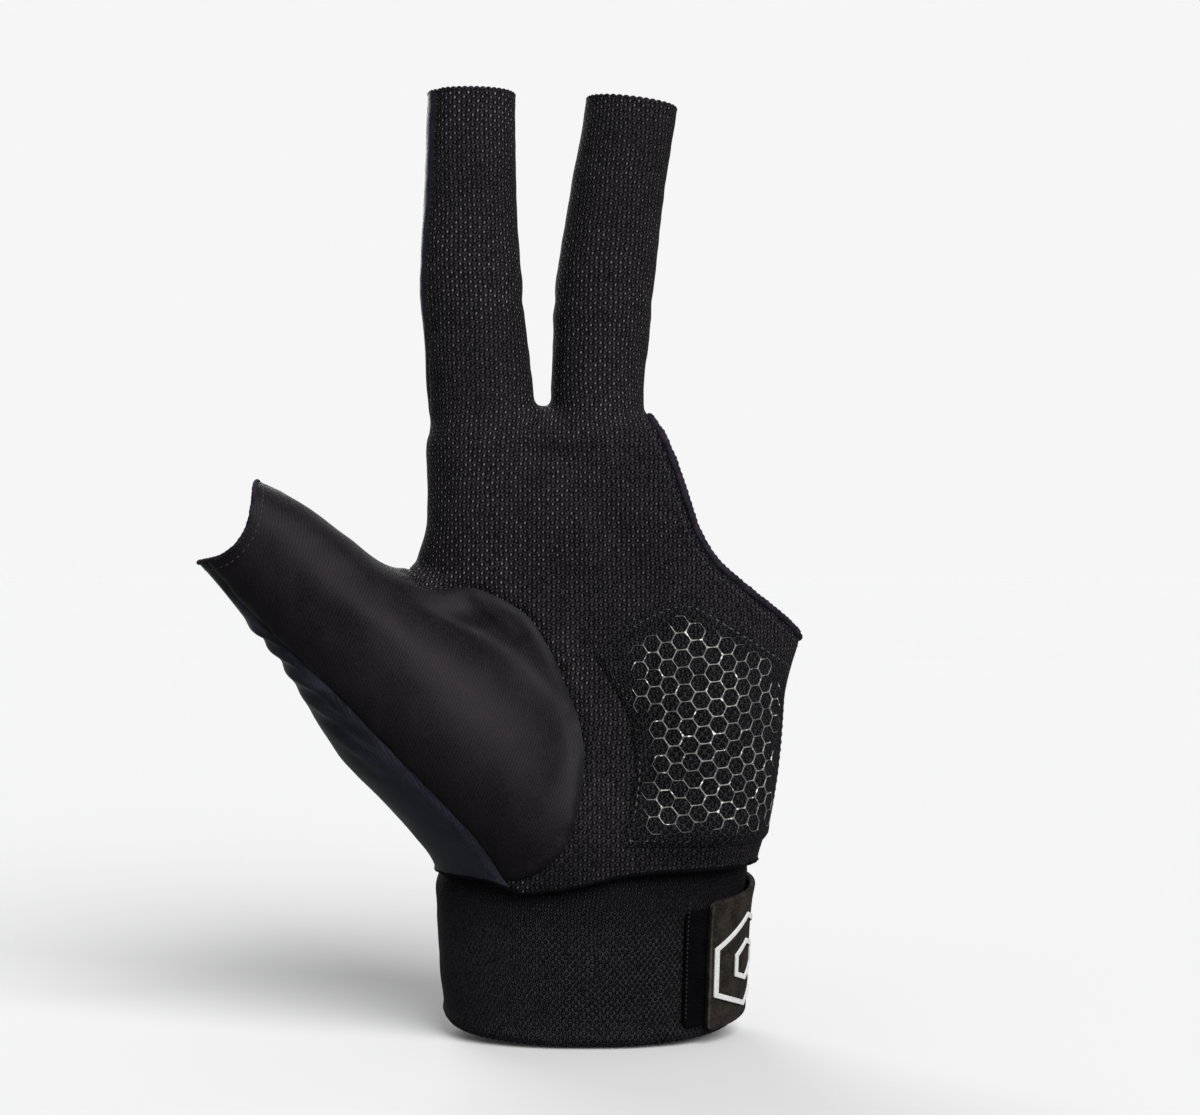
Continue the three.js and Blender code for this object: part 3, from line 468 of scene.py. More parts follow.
def score(mesh, faces, rule):
    """Cuts the faces along the rule's zero line and returns those above it and those below."""
    marked, pinned = mesh.faces.layers.int["marked"], mesh.verts.layers.int["pinned"]
    for face in mesh.faces:
        face[marked] = 0
    for face in faces:
        face[marked] = 1

    def pin(some):
        for corner, p in zip(some, seat_on_seam(np.array([v.co for v in some]) / MM, rule)):
            corner.co = p * MM
            corner[pinned] = 1

    corners = list(dict.fromkeys(v for face in faces for v in face.verts))
    value = rule(np.array([v.co for v in corners]) / MM)
    near = [i for i in np.nonzero(np.abs(value) < 0.3 * WEAVE_CELL)[0] if not corners[i][pinned]]
    if near:
        pin([corners[i] for i in near])
        value[near] = 0
    value[np.abs(value) < 0.02] = 0
    value_of = dict(zip(corners, value))
    crossing = []
    for edge in dict.fromkeys(e for face in faces for e in face.edges):
        a, b = edge.verts
        if value_of[a] * value_of[b] < 0:
            crossing.append((edge, a, value_of[a] / (value_of[a] - value_of[b])))
    fresh = [bmesh.utils.edge_split(edge, corner, share)[1] for edge, corner, share in crossing]
    if fresh:
        pin(fresh)
    on_line = [v for v, n in value_of.items() if n == 0] + fresh
    others = [face for face in mesh.faces if not face[marked]]
    bmesh.ops.connect_verts(mesh, verts=on_line, faces_exclude=others, check_degenerate=True)
    faces = [face for face in mesh.faces if face[marked]]
    above = rule(np.array([face.calc_center_median() for face in faces]) / MM) > 0
    return [f for f, up in zip(faces, above) if up], [f for f, up in zip(faces, above) if not up]


# %% [markdown]
# The open ends are trimmed first, each among the faces near it. Then the skin is shared out as a
# cutter would do it: the back, the webbing of the thumb, the thumb, the palm, and within the palm the
# patch.

# %% Cut the skin
PALM_SIDE, BACK_SIDE, THUMB_SIDE, PATCH_SIDE = 1, 2, 3, 4
cloth = bmesh.new()
cloth.from_mesh(skin.data)
cloth.faces.layers.int.new("marked")
cloth.verts.layers.int.new("pinned")
panel = cloth.faces.layers.int.new("panel")


def trim(rule, where=lambda at: True):
    """Cuts off what lies below a rule, among the faces whose middles pass the test."""
    _, waste = score(cloth, [f for f in cloth.faces if where(f.calc_center_median() / MM)], rule)
    bmesh.ops.delete(cloth, geom=waste, context="FACES")


def share_out(faces, side):
    for face in faces:
        face[panel] = side


trim(wrist_rule)
trim(slit_rule)
trim(index_top_rule, lambda at: at.z > 120 and at.x < -12)
trim(middle_top_rule, lambda at: at.z > 120 and at.x > -12)
trim(thumb_top_rule, lambda at: at.x < -52)
back, front = score(cloth, list(cloth.faces), back_rule)
share_out(back, BACK_SIDE)
webbing, front = score(cloth, front, webbing_rule)
share_out(webbing, BACK_SIDE)
thumb, palm = score(cloth, front, thumb_rule)
share_out(thumb, THUMB_SIDE)
share_out(palm, PALM_SIDE)
for rule in patch_rules:
    palm, _ = score(cloth, palm, rule)
share_out(palm, PATCH_SIDE)
print("faces by panel:", [sum(f[panel] == n for f in cloth.faces) for n in (1, 2, 3, 4)])

# %% [markdown]
# The skin is now read once as plain lists. Edges between two panels are seams, edges with one face are
# open hems, and both are put end to end into runs, along which thread and bindings are laid later.


# %% Seams and hems as runs
def runs(pairs):
    """Puts edges end to end."""
    near = defaultdict(list)
    for a, b in pairs:
        near[a].append(b)
        near[b].append(a)
    free = {frozenset(pair) for pair in pairs}
    found = []
    for start in [v for v in near if len(near[v]) != 2] + list(near):
        for following in near[start]:
            run = [start]
            while following is not None and frozenset((run[-1], following)) in free:
                free.discard(frozenset((run[-1], following)))
                run.append(following)
                onward = [v for v in near[following] if frozenset((following, v)) in free]
                following = onward[0] if onward and len(near[following]) == 2 else None
            if len(run) > 1:
                found.append(run)
    return sorted(found, key=len, reverse=True)


cloth.verts.index_update()
skin_points = np.array([v.co for v in cloth.verts]) / MM
skin_faces = [[v.index for v in f.verts] for f in cloth.faces]
skin_panel = [f[panel] for f in cloth.faces]
seam_edges, hem_edges = defaultdict(list), []
for edge in cloth.edges:
    pair = tuple(v.index for v in edge.verts)
    sides = tuple(sorted(f[panel] for f in edge.link_faces))
    if len(sides) == 1:
        hem_edges.append(pair)
    elif len(sides) == 2 and sides[0] != sides[1]:
        seam_edges[sides].append(pair)
cloth.free()
bpy.data.objects.remove(skin)
skin_normals = normals(skin_points)
hems = runs(hem_edges)
seams = {sides: runs(pairs) for sides, pairs in seam_edges.items()}
print("hems:", [len(run) for run in hems], "seams:", {k: [len(r) for r in v[:4]] for k, v in seams.items()})

# %% [markdown]
# ## Relief
# A seam pulls the cloth in and puckers it, and slack cloth lies in creases. All of it moves the shared
# corners along the skin's normals, so that neighbouring panels still meet. The creases follow the
# photo: slanting ones on the back of the thumb, a long soft one on the satin, and a few on the palm.

# %% Creases, puckers and sunken seams
CREASES = table(
    (-71.5, 54, 24, 4, 0.9, 1.1, 0), (-69.5, 51.2, 24, 4, 0.8, -1.1, 0), (-67, 49.4, 25, 5, 0.9, 1.1, 0),
    (-65.2, 46.2, 25, 5, 0.8, -1, 0), (-62.8, 44, 26, 5, 0.9, 1, 0), (-60.2, 40.6, 26, 5, 0.9, -0.9, 0),
    (-57.2, 37.6, 28, 6, 1, 0.9, 0), (-53.6, 33.4, 30, 6, 1, -0.8, 0), (-49.6, 29.2, 32, 6, 1.2, 0.7, 0),
    (-40, 66.5, 36, 10, 1.6, 0.35, -1), (-36, 59.5, 28, 10, 1.4, -0.35, -1),
    (-22, 58, 40, 5, 1, 0.35, -1), (-55, 72, 42, 12, 2.2, 0.3, -1), (-9, 86, 20, 9, 2, -0.3, -1),
    (-24, 88, -8, 8, 1.8, -0.3, -1), (26, 12, 4, 12, 1.6, 0.35, -1), (14, 20, 60, 7, 1.8, -0.3, -1),
    (-24, 128, 4, 10, 2.2, -0.3, -1), (2, 128, -6, 10, 2.2, -0.3, -1), (-10, 60, 12, 20, 4, 0.5, 1),
    (0, 84, 8, 24, 5, -0.5, 1), (-24, 126, 0, 11, 1.6, -0.5, 1), (-24, 131, 0, 11, 1.5, 0.3, 1),
    (3, 126, 0, 11, 1.6, -0.5, 1), (-10, 10, 0, 16, 1.8, 0.45, 1), (8, 15, 4, 12, 1.6, 0.4, 1),
    (-22, 17, -6, 9, 1.6, 0.35, 1), (-24, 97, 0, 9, 2.6, -0.5, 1), (2, 97, 0, 9, 2.6, -0.5, 1),
    (19, 70, 70, 14, 2, 0.4, 1), (-34, 40, 40, 14, 2.2, 0.5, 1), (-27, 30, 36, 12, 2, 0.45, 1),
    (-14, 106, 84, 16, 2.4, 0.4, 1),
)


def bumpy(p, size, seed=0):
    return np.array([noise.noise(Vector(q)) for q in p / size + seed])


def slack(p):
    """Rise of creases and of uneven cloth, in millimetres."""
    return ridges(p, CREASES) + 0.10 * bumpy(p, 5.0) + 0.16 * bumpy(p, 14.0, 7)


def nearness(p, marks):
    """Distance of each point to the nearest mark."""
    tree = KDTree(len(marks))
    for i, mark in enumerate(marks):
        tree.insert(mark, i)
    tree.balance()
    return np.array([tree.find(q)[2] for q in p])


PATCH_SEAM = (PALM_SIDE, PATCH_SIDE)
between_panels = np.concatenate([pairs for sides, pairs in seam_edges.items() if sides != PATCH_SEAM])
from_seam = nearness(skin_points, skin_points[np.unique(between_panels)])
relief = slack(skin_points)
relief += 0.30 * bumpy(skin_points, 3.2, 3) * np.exp(-((from_seam / 2.6) ** 2))
relief -= 0.65 * np.exp(-((from_seam / 0.75) ** 2))
relief += 0.06 * np.exp(-(((from_seam - 1.9) / 0.9) ** 2))
skin_outer = skin_points + skin_normals * relief[:, None]
print("relief:", round(float(relief.min()), 2), "to", round(float(relief.max()), 2), "mm")

# %% [markdown]
# ## Cloth panels
# Each panel is lifted out of the skin as its own mesh. An unwrap would stretch the fingers of the
# pattern, so the pattern is fitted by least squares: along each edge it steps as far as the cloth does,
# level round the hand in U and up it in V. Only then does Solidify give the cloth its thickness.


# %% Make a panel
def make_piece(name, points, faces):
    mesh = bpy.data.meshes.new(name)
    mesh.from_pydata((np.asarray(points) * MM).tolist(), [], faces)
    piece = bpy.data.objects.new(name, mesh)
    bpy.context.collection.objects.link(piece)
    pick(piece)
    return piece


def fit_along_edges(a, b, step, start):
    """Values at the corners whose steps along the edges come closest to the wanted ones."""

    def gather(share):
        return np.bincount(b, share, len(start)) - np.bincount(a, share, len(start))

    value = start.copy()
    rest = gather(step - (value[b] - value[a]))
    way, size = rest.copy(), rest @ rest
    for _ in range(400):
        spread = gather(way[b] - way[a])
        stride = size / (way @ spread)
        value += stride * way
        rest -= stride * spread
        size, before = rest @ rest, size
        way = rest + way * (size / before)
    return value


def pattern_from(piece, flat):
    """Writes the flat place of each corner, in units of 100 mm, as the piece's UV."""
    layer = piece.data.uv_layers.active or piece.data.uv_layers.new(name="pattern")
    corner = np.empty(len(layer.data), int)
    piece.data.loops.foreach_get("vertex_index", corner)
    layer.data.foreach_set("uv", (flat[corner] / 100).ravel())


def lay_flat(piece, grain):
    """Gives a panel its pattern: U goes level round the hand and V up it, turned by the grain."""
    p = points_of(piece)
    pairs = np.empty(len(piece.data.edges) * 2, int)
    piece.data.edges.foreach_get("vertices", pairs)
    a, b = pairs.reshape(-1, 2).T
    out = normals(p)
    level = np.stack([-out[:, 1], out[:, 0], 0 * out[:, 0]], axis=1)
    level /= np.maximum(np.linalg.norm(level, axis=1), 0.35)[:, None]
    rising = np.cross(out, level)
    way = p[b] - p[a]
    flat = []
    for axis, start in ((level, p[:, 0]), (rising, p[:, 2])):
        flat.append(fit_along_edges(a, b, (way * (axis[a] + axis[b]) / 2).sum(1), start))
    flat = np.stack(turned(*flat, grain), axis=1)
    flat -= flat.min(0)
    stretch = np.linalg.norm(flat[b] - flat[a], axis=1) / np.maximum(np.linalg.norm(way, axis=1), 1e-6)
    pattern_from(piece, flat)
    print(piece.name, "pattern:", np.round(flat.max(0)), "mm, stretched", np.round(np.median(stretch), 2))


def make_panel(name, sides, wall, lift=0 * relief, grain=0):
    faces = [f for f, side in zip(skin_faces, skin_panel) if side in sides]
    used = sorted({v for f in faces for v in f})
    number = {v: i for i, v in enumerate(used)}
    points = skin_outer[used] + skin_normals[used] * lift[used][:, None]
    piece = make_piece(name, points, [[number[v] for v in f] for f in faces])
    lay_flat(piece, grain)
    area = sum(polygon.area for polygon in piece.data.polygons)
    apply_modifier(piece, "SOLIDIFY", thickness=wall * MM, offset=-1)
    smooth_below(60)
    print(name, "area:", round(area, 5), "m2,", len(piece.data.polygons), "faces")
    return piece


# %% [markdown]
# The palm, the thumb and the back are 0.9 mm thick, as such a knit is. The palm's panel also runs on
# below the patch.

# %% Cut out the three panels
CLOTH_WALL = 0.9
palm_cloth = make_panel("palm_cloth", (PALM_SIDE, PATCH_SIDE), CLOTH_WALL)
thumb_cloth = make_panel("thumb_cloth", (THUMB_SIDE,), CLOTH_WALL)
back_cloth = make_panel("back_cloth", (BACK_SIDE,), CLOTH_WALL)

# %% [markdown]
# ## Grip patch
# The patch is a second layer of the same knit, sewn onto the heel of the palm. Its edge is turned
# under, so it rises in a soft step from the palm.

# %% Grip patch
PATCH_FOOT, PATCH_WALL = 0.22, 0.55  # mm above the palm's cloth, and mm thick
patch_edge = sorted({v for sides in seams if PATCH_SIDE in sides for run in seams[sides] for v in run})
from_edge = nearness(skin_points, skin_points[patch_edge])
patch_lift = PATCH_FOOT + PATCH_WALL * (1 - np.exp(-((from_edge / 0.9) ** 2)))
patch_cloth = make_panel("patch_cloth", (PATCH_SIDE,), PATCH_WALL, patch_lift, grain=-5)

# %% [markdown]
# ## Honeycomb print
# Silicone is pressed through a screen in a honeycomb and cures as low rounded ridges. One six-sided
# cell is drawn with its flat sides to the next cells, and a copy of it is laid at each place of the
# grid that lies inside the outline of the print.

# %% Cells of the print
CELL_PITCH, PRINT_TURN = 3.6, 5
PRINT_MIDDLE = np.array([20.0, 34.0])
PRINT_LEFT = table((12, 11), (34, 11.4), (42, 8.6), (50, 6.4), (56, 4))
PRINT_CROWN = table((4, 46), (8, 50.5), (16, 56.4), (24, 54.6), (36, 47.6), (48, 40))
centres = []
for i in range(-10, 11):
    for j in range(-10, 11):
        step = i * CELL_PITCH * math.cos(math.pi / 6), (j + abs(i) % 2 / 2) * CELL_PITCH
        x, z = PRINT_MIDDLE + turned(*step, PRINT_TURN)
        if along(PRINT_LEFT, z) < x < 42 and 13 < z < along(PRINT_CROWN, x):
            centres.append((x, z))
print("cells:", len(centres))

bpy.ops.mesh.primitive_circle_add(vertices=6, radius=CELL_PITCH / math.sqrt(3), fill_type="NGON")
one_cell = named("one_cell")
hexagon = np.stack(turned(*(points_of(one_cell) * MM)[:, :2].T, PRINT_TURN + 30), axis=1)
bpy.data.objects.remove(one_cell)
corners = np.concatenate([hexagon + centre for centre in centres])
corners = np.column_stack([corners, np.zeros(len(corners))])
cells = np.arange(len(corners)).reshape(-1, 6).tolist()
print_piece = make_piece("honeycomb_print", corners, cells)

# %% [markdown]
# The cells are welded, each one is inset, and the middles are thrown away: what is left is the
# lattice. Some cells are worn off, most of them at the rim. The lines are made a little uneven, get
# their height, and are rounded by a subdivision.

# %% Lattice of ridges
with editing(print_piece):
    bpy.ops.mesh.remove_doubles(threshold=0.1 * MM)
    bpy.ops.mesh.inset(thickness=0.14 * MM, use_individual=True, use_even_offset=True)
    bpy.ops.mesh.delete(type="FACE")
random = np.random.default_rng(7)
lattice = bmesh.new()
lattice.from_mesh(print_piece.data)
outline = [e for e in lattice.edges if len(e.link_faces) == 1 and e.calc_length() > 1.98 * MM]
rim = {e.link_faces[0] for e in outline}
worn = [f for f in lattice.faces if random.random() < (0.3 if f in rim else 0.04)]
bmesh.ops.delete(lattice, geom=worn, context="FACES")
long_edges = [e for e in lattice.edges if e.calc_length() > 1.5 * MM]
bmesh.ops.subdivide_edges(lattice, edges=long_edges, cuts=2)
lattice.to_mesh(print_piece.data)
lattice.free()
flat_points = points_of(print_piece)
for axis, rise, size, seed in ((0, 0.07, 0.9, 2), (1, 0.07, 0.9, 5), (2, 0.06, 1.3, 9)):
    flat_points[:, axis] += rise * bumpy(flat_points, size, seed)
set_points(print_piece, flat_points)
apply_modifier(print_piece, "SOLIDIFY", thickness=0.3 * MM, offset=-1)
apply_modifier(print_piece, "SUBSURF", levels=1, render_levels=1)
print("lattice:", len(print_piece.data.polygons), "faces")

# %% [markdown]
# The flat print is wrapped onto the patch: each point keeps its height and walks level round the palm,
# in short strides, as far as it lies from the start. So the cells keep their size on the curved heel.

# %% Wrap the print onto the patch
START, STRIDES, LEVEL = (20, -17), 10, (1, 1, 0)
PRINT_TOP = 0.22  # mm above the patch; the foot of the print is sunk into it
across, height, rise = points_of(print_piece).T
seat = settle(np.stack([0 * height + START[0], 0 * height + START[1], height], axis=1), free=LEVEL)
for _ in range(STRIDES):
    normal = normals(seat)
    around = unit(np.stack([-normal[:, 1], normal[:, 0], 0 * height], axis=1))
    seat = settle(seat + around * ((across - START[0]) / STRIDES)[:, None], free=LEVEL)
lift = slack(seat) + PATCH_FOOT + PATCH_WALL + PRINT_TOP + rise
set_points(print_piece, seat + normals(seat) * lift[:, None])
face_out(print_piece)
bpy.ops.object.shade_smooth()

# %% [markdown]
# ## Wrist
# The wrist is a table of sections too, but here a point is found by its angle and its height, because
# a band and straps are wound round it. A flat cut across the band runs a little higher at the back.

# %% The wrist as a table
CUFF = table(
    (-40, -32.9, 31, -12.2, 30), (-30, -33.6, 31.3, -14.2, 27.6), (-22, -34.3, 31.6, -16.2, 25.6),
    (-12, -34.7, 31.9, -18.4, 23), (-5, -34.9, 32.4, -19.4, 20.6), (-1, -34.8, 33.1, -19.3, 19),
    (2.4, -33.6, 33.6, -18.9, 17.8), (8, -33.6, 33.8, -18.7, 17),
)
CUFF_POWER = 2.2  # 2 makes ellipses, and a higher power squarer rings


def cuff_face(angle, z):
    angle, z = np.broadcast_arrays(np.atleast_1d(angle), z)
    middle_x, wide, middle_y, deep = section(CUFF, z)

    def bend(value):
        return np.sign(value) * np.abs(value) ** (2 / CUFF_POWER)

    x = middle_x + wide * bend(np.cos(np.radians(angle)))
    y = middle_y + deep * bend(np.sin(np.radians(angle)))
    return np.stack([x, y, z + 0 * x], axis=1)


def cuff_point(angle, z, lift):
    """Point above the band, by its angle from +X (the palm is at -90) and its height."""
    around = cuff_face(angle + 0.5, z) - cuff_face(angle - 0.5, z)
    rising = cuff_face(angle, z + 0.5) - cuff_face(angle, z - 0.5)
    return cuff_face(angle, z) + unit(np.cross(around, rising)) * np.reshape(lift, (-1, 1))


def tilted_edge(angle, height, tilt):
    z = height
    for _ in range(6):
        z = height + tilt * cuff_face(angle, z)[:, 1]
    return z


def rolled_grid(name, columns, rows, size, place, ease=1):
    """A flat cut of this size, rolled into place by its share of the way across and up."""
    bpy.ops.mesh.primitive_grid_add(x_subdivisions=columns, y_subdivisions=rows, size=2)
    piece = named(name)
    share = (points_of(piece)[:, :2] * MM + 1) / 2
    share[:, 0] **= ease
    set_points(piece, place(*share.T))
    pattern_from(piece, share * size)
    return piece


print("round the wrist:", round(float(np.ptp(cuff_face(np.arange(360), -20)[:, 0])), 1), "mm wide")

# %% [markdown]
# ## Wrist band
# The band is a doubled knit tube. A flat grid is rolled round the wrist until its ends meet under the
# tab. It has a welt at its foot, is tucked in at its top, and is pressed flat where the tab lies.

# %% Wrist band
BAND_SIZE, BAND_WALL = (176, 41), 1.9
BAND_FOOT, BAND_TILT, BAND_TOP = -32.9, 0.15, 8


def band_place(u, v):
    angle = 30 + u * 357
    foot = tilted_edge(angle, BAND_FOOT, BAND_TILT)
    z = foot + (BAND_TOP - foot) * v
    p = cuff_face(angle, z)
    waves = 0.22 * bumpy(p, 9.0, 4) + 0.10 * bumpy(p, 3.5, 6)
    waves *= np.where((angle > 300) | (angle < 62), 0.1, 1)
    welt = 0.35 * np.exp(-((z - foot - 1.6) ** 2)) - 0.5 * np.exp(-(((z - foot) / 0.7) ** 2))
    return cuff_point(angle, z, waves + welt - 0.5 * smoothstep(z, 0.5, 4.5))


cuff_band = rolled_grid("cuff_band", 260, 48, BAND_SIZE, band_place)
apply_modifier(cuff_band, "SOLIDIFY", thickness=BAND_WALL * MM, offset=-1)
smooth_below(50)

# %% [markdown]
# ## Closure
# A strip of loop pile is sewn to the band, and the suede tab closes over it. Both are straps on the
# band with the same slant, so one function lays them. The tab's corners are rounded, its edge is a
# clean cut, and its other end comes down to the band where it is sewn on.

# %% Straps laid on the band
STRAP_TILT, CORNER = 0.18, 1.5
TAB_BASE, TAB_WALL = 1.0, 1.2


def lay_strap(name, columns, size, start, end, top, foot, base, wall):
    middle = foot / 2

    def place(u, v):
        angle = start + (end - start) * u
        from_end = np.linalg.norm(cuff_face(angle, middle) - cuff_face(start, middle), axis=1)
        cut = CORNER - np.sqrt(CORNER**2 - np.maximum(CORNER - from_end, 0) ** 2)
        high = tilted_edge(angle, top, STRAP_TILT) - cut
        low = tilted_edge(angle, foot, STRAP_TILT) + cut
        down = max(base - 0.2, 0) * smoothstep(angle, 12, 32)
        return cuff_point(angle, low + (high - low) * v, base - down)

    strap = rolled_grid(name, columns, 44, size, place, 1.3)
    apply_modifier(strap, "SOLIDIFY", thickness=wall * MM, offset=1)
    apply_modifier(strap, "BEVEL", width=0.28 * wall * MM, segments=3, angle_limit=math.radians(50))
    smooth_below(40)
    return strap


loop_pile = lay_strap("loop_pile", 60, (30, 26.5), -54.5, 12, -2.6, -29.6, 0.15, 0.75)
suede_tab = lay_strap("suede_tab", 90, (49, 29.5), -43.5, 62, -1.0, -30.6, TAB_BASE, TAB_WALL)
pile_points = points_of(loop_pile)
pile_points[:, 1] -= 0.10 * bumpy(pile_points, 0.7, 11)
set_points(loop_pile, pile_points)
print("straps:", len(loop_pile.data.polygons), len(suede_tab.data.polygons), "faces")

# %% [markdown]
# ## Mark on the tab
# A plain hexagon ring with a smaller one inside stands where a maker would put a badge. It is screen
# printed, so it is low, with soft edges, and it bends with the tab. A six-sided circle is inset, and the
# middle is removed. The ring is subdivided before it is bent, then thickened and bevelled.

# %% Printed hexagon rings
MARK_ANGLE, MARK_HEIGHT = -16, -17.4


def hexagon_ring(name, reach):
    bpy.ops.mesh.primitive_circle_add(vertices=6, radius=reach * MM, fill_type="NGON")
    ring = named(name)
    with editing(ring):
        bpy.ops.mesh.inset(thickness=1.1 * MM, use_even_offset=True)
        bpy.ops.mesh.delete(type="FACE")
        bpy.ops.mesh.select_all(action="SELECT")
        bpy.ops.mesh.subdivide(number_cuts=7)
    x, y, _ = points_of(ring).T
    middle = cuff_face(MARK_ANGLE, MARK_HEIGHT)
    angle = MARK_ANGLE + x / np.linalg.norm(cuff_face(MARK_ANGLE + 1, MARK_HEIGHT) - middle)
    tilt = STRAP_TILT * (cuff_face(angle, MARK_HEIGHT + y) - middle)[:, 1]
    set_points(ring, cuff_point(angle, MARK_HEIGHT + y + tilt, TAB_BASE + TAB_WALL + 0.02))
    apply_modifier(ring, "SOLIDIFY", thickness=0.4 * MM, offset=1)
    apply_modifier(ring, "BEVEL", width=0.14 * MM, segments=2, angle_limit=math.radians(50))
    face_out(ring)
    smooth_below(35)
    return ring


outer_mark = hexagon_ring("outer_mark", 11.2)
inner_mark = hexagon_ring("inner_mark", 5.0)
print("marks:", len(outer_mark.data.polygons), len(inner_mark.data.polygons), "faces")

# %% [markdown]
# ## Hems
# The long hem of the slit and the hem of the thumb are rolled over and sewn. A roll is a tube along
# the run of the hem. The run is evened out first, because the corners of a cut mesh are not. Thread
# that is wound round the roll gives it slanting ridges.


# %% Even paths and tubes
THREAD_PITCH = 1.3  # mm of hem for one turn of its thread


def lengths(path):
    """How far each point lies along its path."""
    return np.concatenate([[0], np.cumsum(np.linalg.norm(np.diff(path, axis=0), axis=1))])


def is_ring(path):
    return np.allclose(path[0], path[-1])


def even_path(run, step, soften=4):
    p = skin_outer[run]
    for _ in range(soften):
        ends = [(p[-2] + 2 * p[0] + p[1]) / 4] * 2 if run[0] == run[-1] else p[[0, -1]]
        p = np.concatenate([ends[:1], (p[:-2] + 2 * p[1:-1] + p[2:]) / 4, ends[1:]])
    length = lengths(p)
    at = np.linspace(0, length[-1], max(4, round(length[-1] / step) + 1))
    return np.stack([np.interp(at, length, column) for column in p.T], axis=1)


def headings(path, out):
    """The way along a path, and the way across it in the cloth."""
    ahead = np.gradient(path, axis=0)
    if is_ring(path):
        ahead[[0, -1]] = path[1] - path[-2]
    ahead = unit(ahead)
    return ahead, unit(np.cross(out, ahead))


def tube(name, path, out, radius, corners=8, ridge=0.0):
    _, across = headings(path, out)
    rings = len(path) - is_ring(path)
    wound = 2 * math.pi * lengths(path) / THREAD_PITCH
    points = []
    for turn in np.arange(corners) * 2 * math.pi / corners:
        reach = np.reshape(radius * (1 + ridge * np.cos(wound + turn)), (-1, 1))
        points.append(path + reach * (math.cos(turn) * out + math.sin(turn) * across))
    faces = []
    for i in range(len(path) - 1):
        here, there = i * corners, (i + 1) % rings * corners
        for k in range(corners):
            m = (k + 1) % corners
            faces.append([here + k, there + k, there + m, here + m])
    if not is_ring(path):
        faces += [list(range(corners)), list(range(rings * corners - 1, (rings - 1) * corners - 1, -1))]
    piece = make_piece(name, np.stack(points, axis=1)[:rings].reshape(-1, 3), faces)
    face_out(piece)
    smooth_below(60)
    return piece


def hem_of(rule):
    return min(hems[:6], key=lambda run: np.abs(rule(skin_points[run])).mean())


def rolled_hem(name, rule, radius, ripple, ridge):
    """A rolled hem, made uneven by the ripple of its cloth and the ridges of its thread."""
    path = even_path(hem_of(rule), 0.26, 8)
    out = normals(path)
    path = path - out * (0.2 - ripple * bumpy(path, 2.2, 8))[:, None]
    return tube(name, path, out, radius * (1 + 0.16 * bumpy(path, 1.7, 1)), 10, ridge)


slit_hem = rolled_hem("slit_hem", slit_rule, 0.85, 0.35, 0.09)
thumb_hem = rolled_hem("thumb_hem", thumb_top_rule, 0.55, 0.15, 0.06)
wrist_hem = rolled_hem("wrist_hem", wrist_rule, 0.45, 0.2, 0.0)
print("hems:", [len(hem.data.polygons) for hem in (slit_hem, thumb_hem, wrist_hem)], "faces")

# %% [markdown]
# The mouths of the two finger tubes are the knit's own edge. Its last row is a line of small loops,
# which reads as a scalloped edge. A thin tube in half waves gives each loop its height and width. The
# foot of the band ends in the same way.


# %% Scalloped edges
def scallops(name, path, out, up, pitch, high):
    share = lengths(path) / lengths(path)[-1]
    wave = np.abs(np.sin(math.pi * max(1, round(lengths(path)[-1] / pitch)) * share))
    path = path + up * (high * wave - 0.2)[:, None] - out * 0.3
    return tube(name, path, out, 0.42 * (0.8 + 0.35 * wave), 6)


def finger_edge(name, rule, pitch, high):
    path = even_path(hem_of(rule), pitch / 6)
    return scallops(name, path, normals(path), unit(-slope(rule, path)), pitch, high)


index_edge = finger_edge("index_edge", index_top_rule, 1.3, 0.25)
middle_edge = finger_edge("middle_edge", middle_top_rule, 1.5, 0.28)
foot_angle = np.linspace(30, 387, 900)
foot_height = tilted_edge(foot_angle, BAND_FOOT, BAND_TILT)
foot_path = cuff_point(foot_angle, foot_height, -0.9)
foot_out = cuff_point(foot_angle, foot_height, 0.1) - foot_path
cuff_edge = scallops("cuff_edge", foot_path, foot_out, np.array([0, 0, -1]), 1.5, 0.2)
print("edges:", [len(edge.data.polygons) for edge in (index_edge, middle_edge, cuff_edge)], "faces")

# %% [markdown]
# ## Thread
# A stitch is a short thick dash with round ends that dives into the cloth. One is made from a sphere,
# and a copy of it is laid at each even step of a path. It leans where the thread is sewn over an edge.

# %% One stitch
bpy.ops.mesh.primitive_uv_sphere_add(segments=8, ring_count=6, radius=1)
one_stitch = named("one_stitch")
stitch_shape = points_of(one_stitch) * MM
stitch_faces = [list(polygon.vertices) for polygon in one_stitch.data.polygons]
bpy.data.objects.remove(one_stitch)
stitch_shape[:, :2] = np.sign(stitch_shape[:, :2]) * np.abs(stitch_shape[:, :2]) ** 0.8
stitch_shape[:, 2] -= 0.9 * stitch_shape[:, 0] ** 2


def sew(name, path, out, long, thick, lean=0):
    """Lays a stitch at each point of an even path."""
    ahead, across = headings(path, out)
    way = ahead * math.cos(math.radians(lean)) + across * math.sin(math.radians(lean))
    side = np.cross(out, way)
    shape = stitch_shape * [long / 2, thick / 2, thick / 2]
    points, faces = [], []
    for i in range(len(path) - is_ring(path)):
        faces += [[v + len(points) * len(shape) for v in face] for face in stitch_faces]
        points.append(path[i] + shape @ np.stack([way[i], side[i], out[i]]))
    piece = make_piece(name, np.concatenate(points), faces)
    face_out(piece)
    bpy.ops.object.shade_smooth()
    print(name, len(points), "stitches")
    return piece


def inside_hem(rule, distance, pitch):
    """A path at some distance inside a hem, and the way out of the cloth."""
    path = even_path(hem_of(rule), pitch)
    inward, out = slope(rule, path), normals(path)
    inward -= (inward * out).sum(1)[:, None] * out
    path = settle(path + unit(inward) * distance, 2)
    out = normals(path)
    return path + out * slack(path)[:, None], out


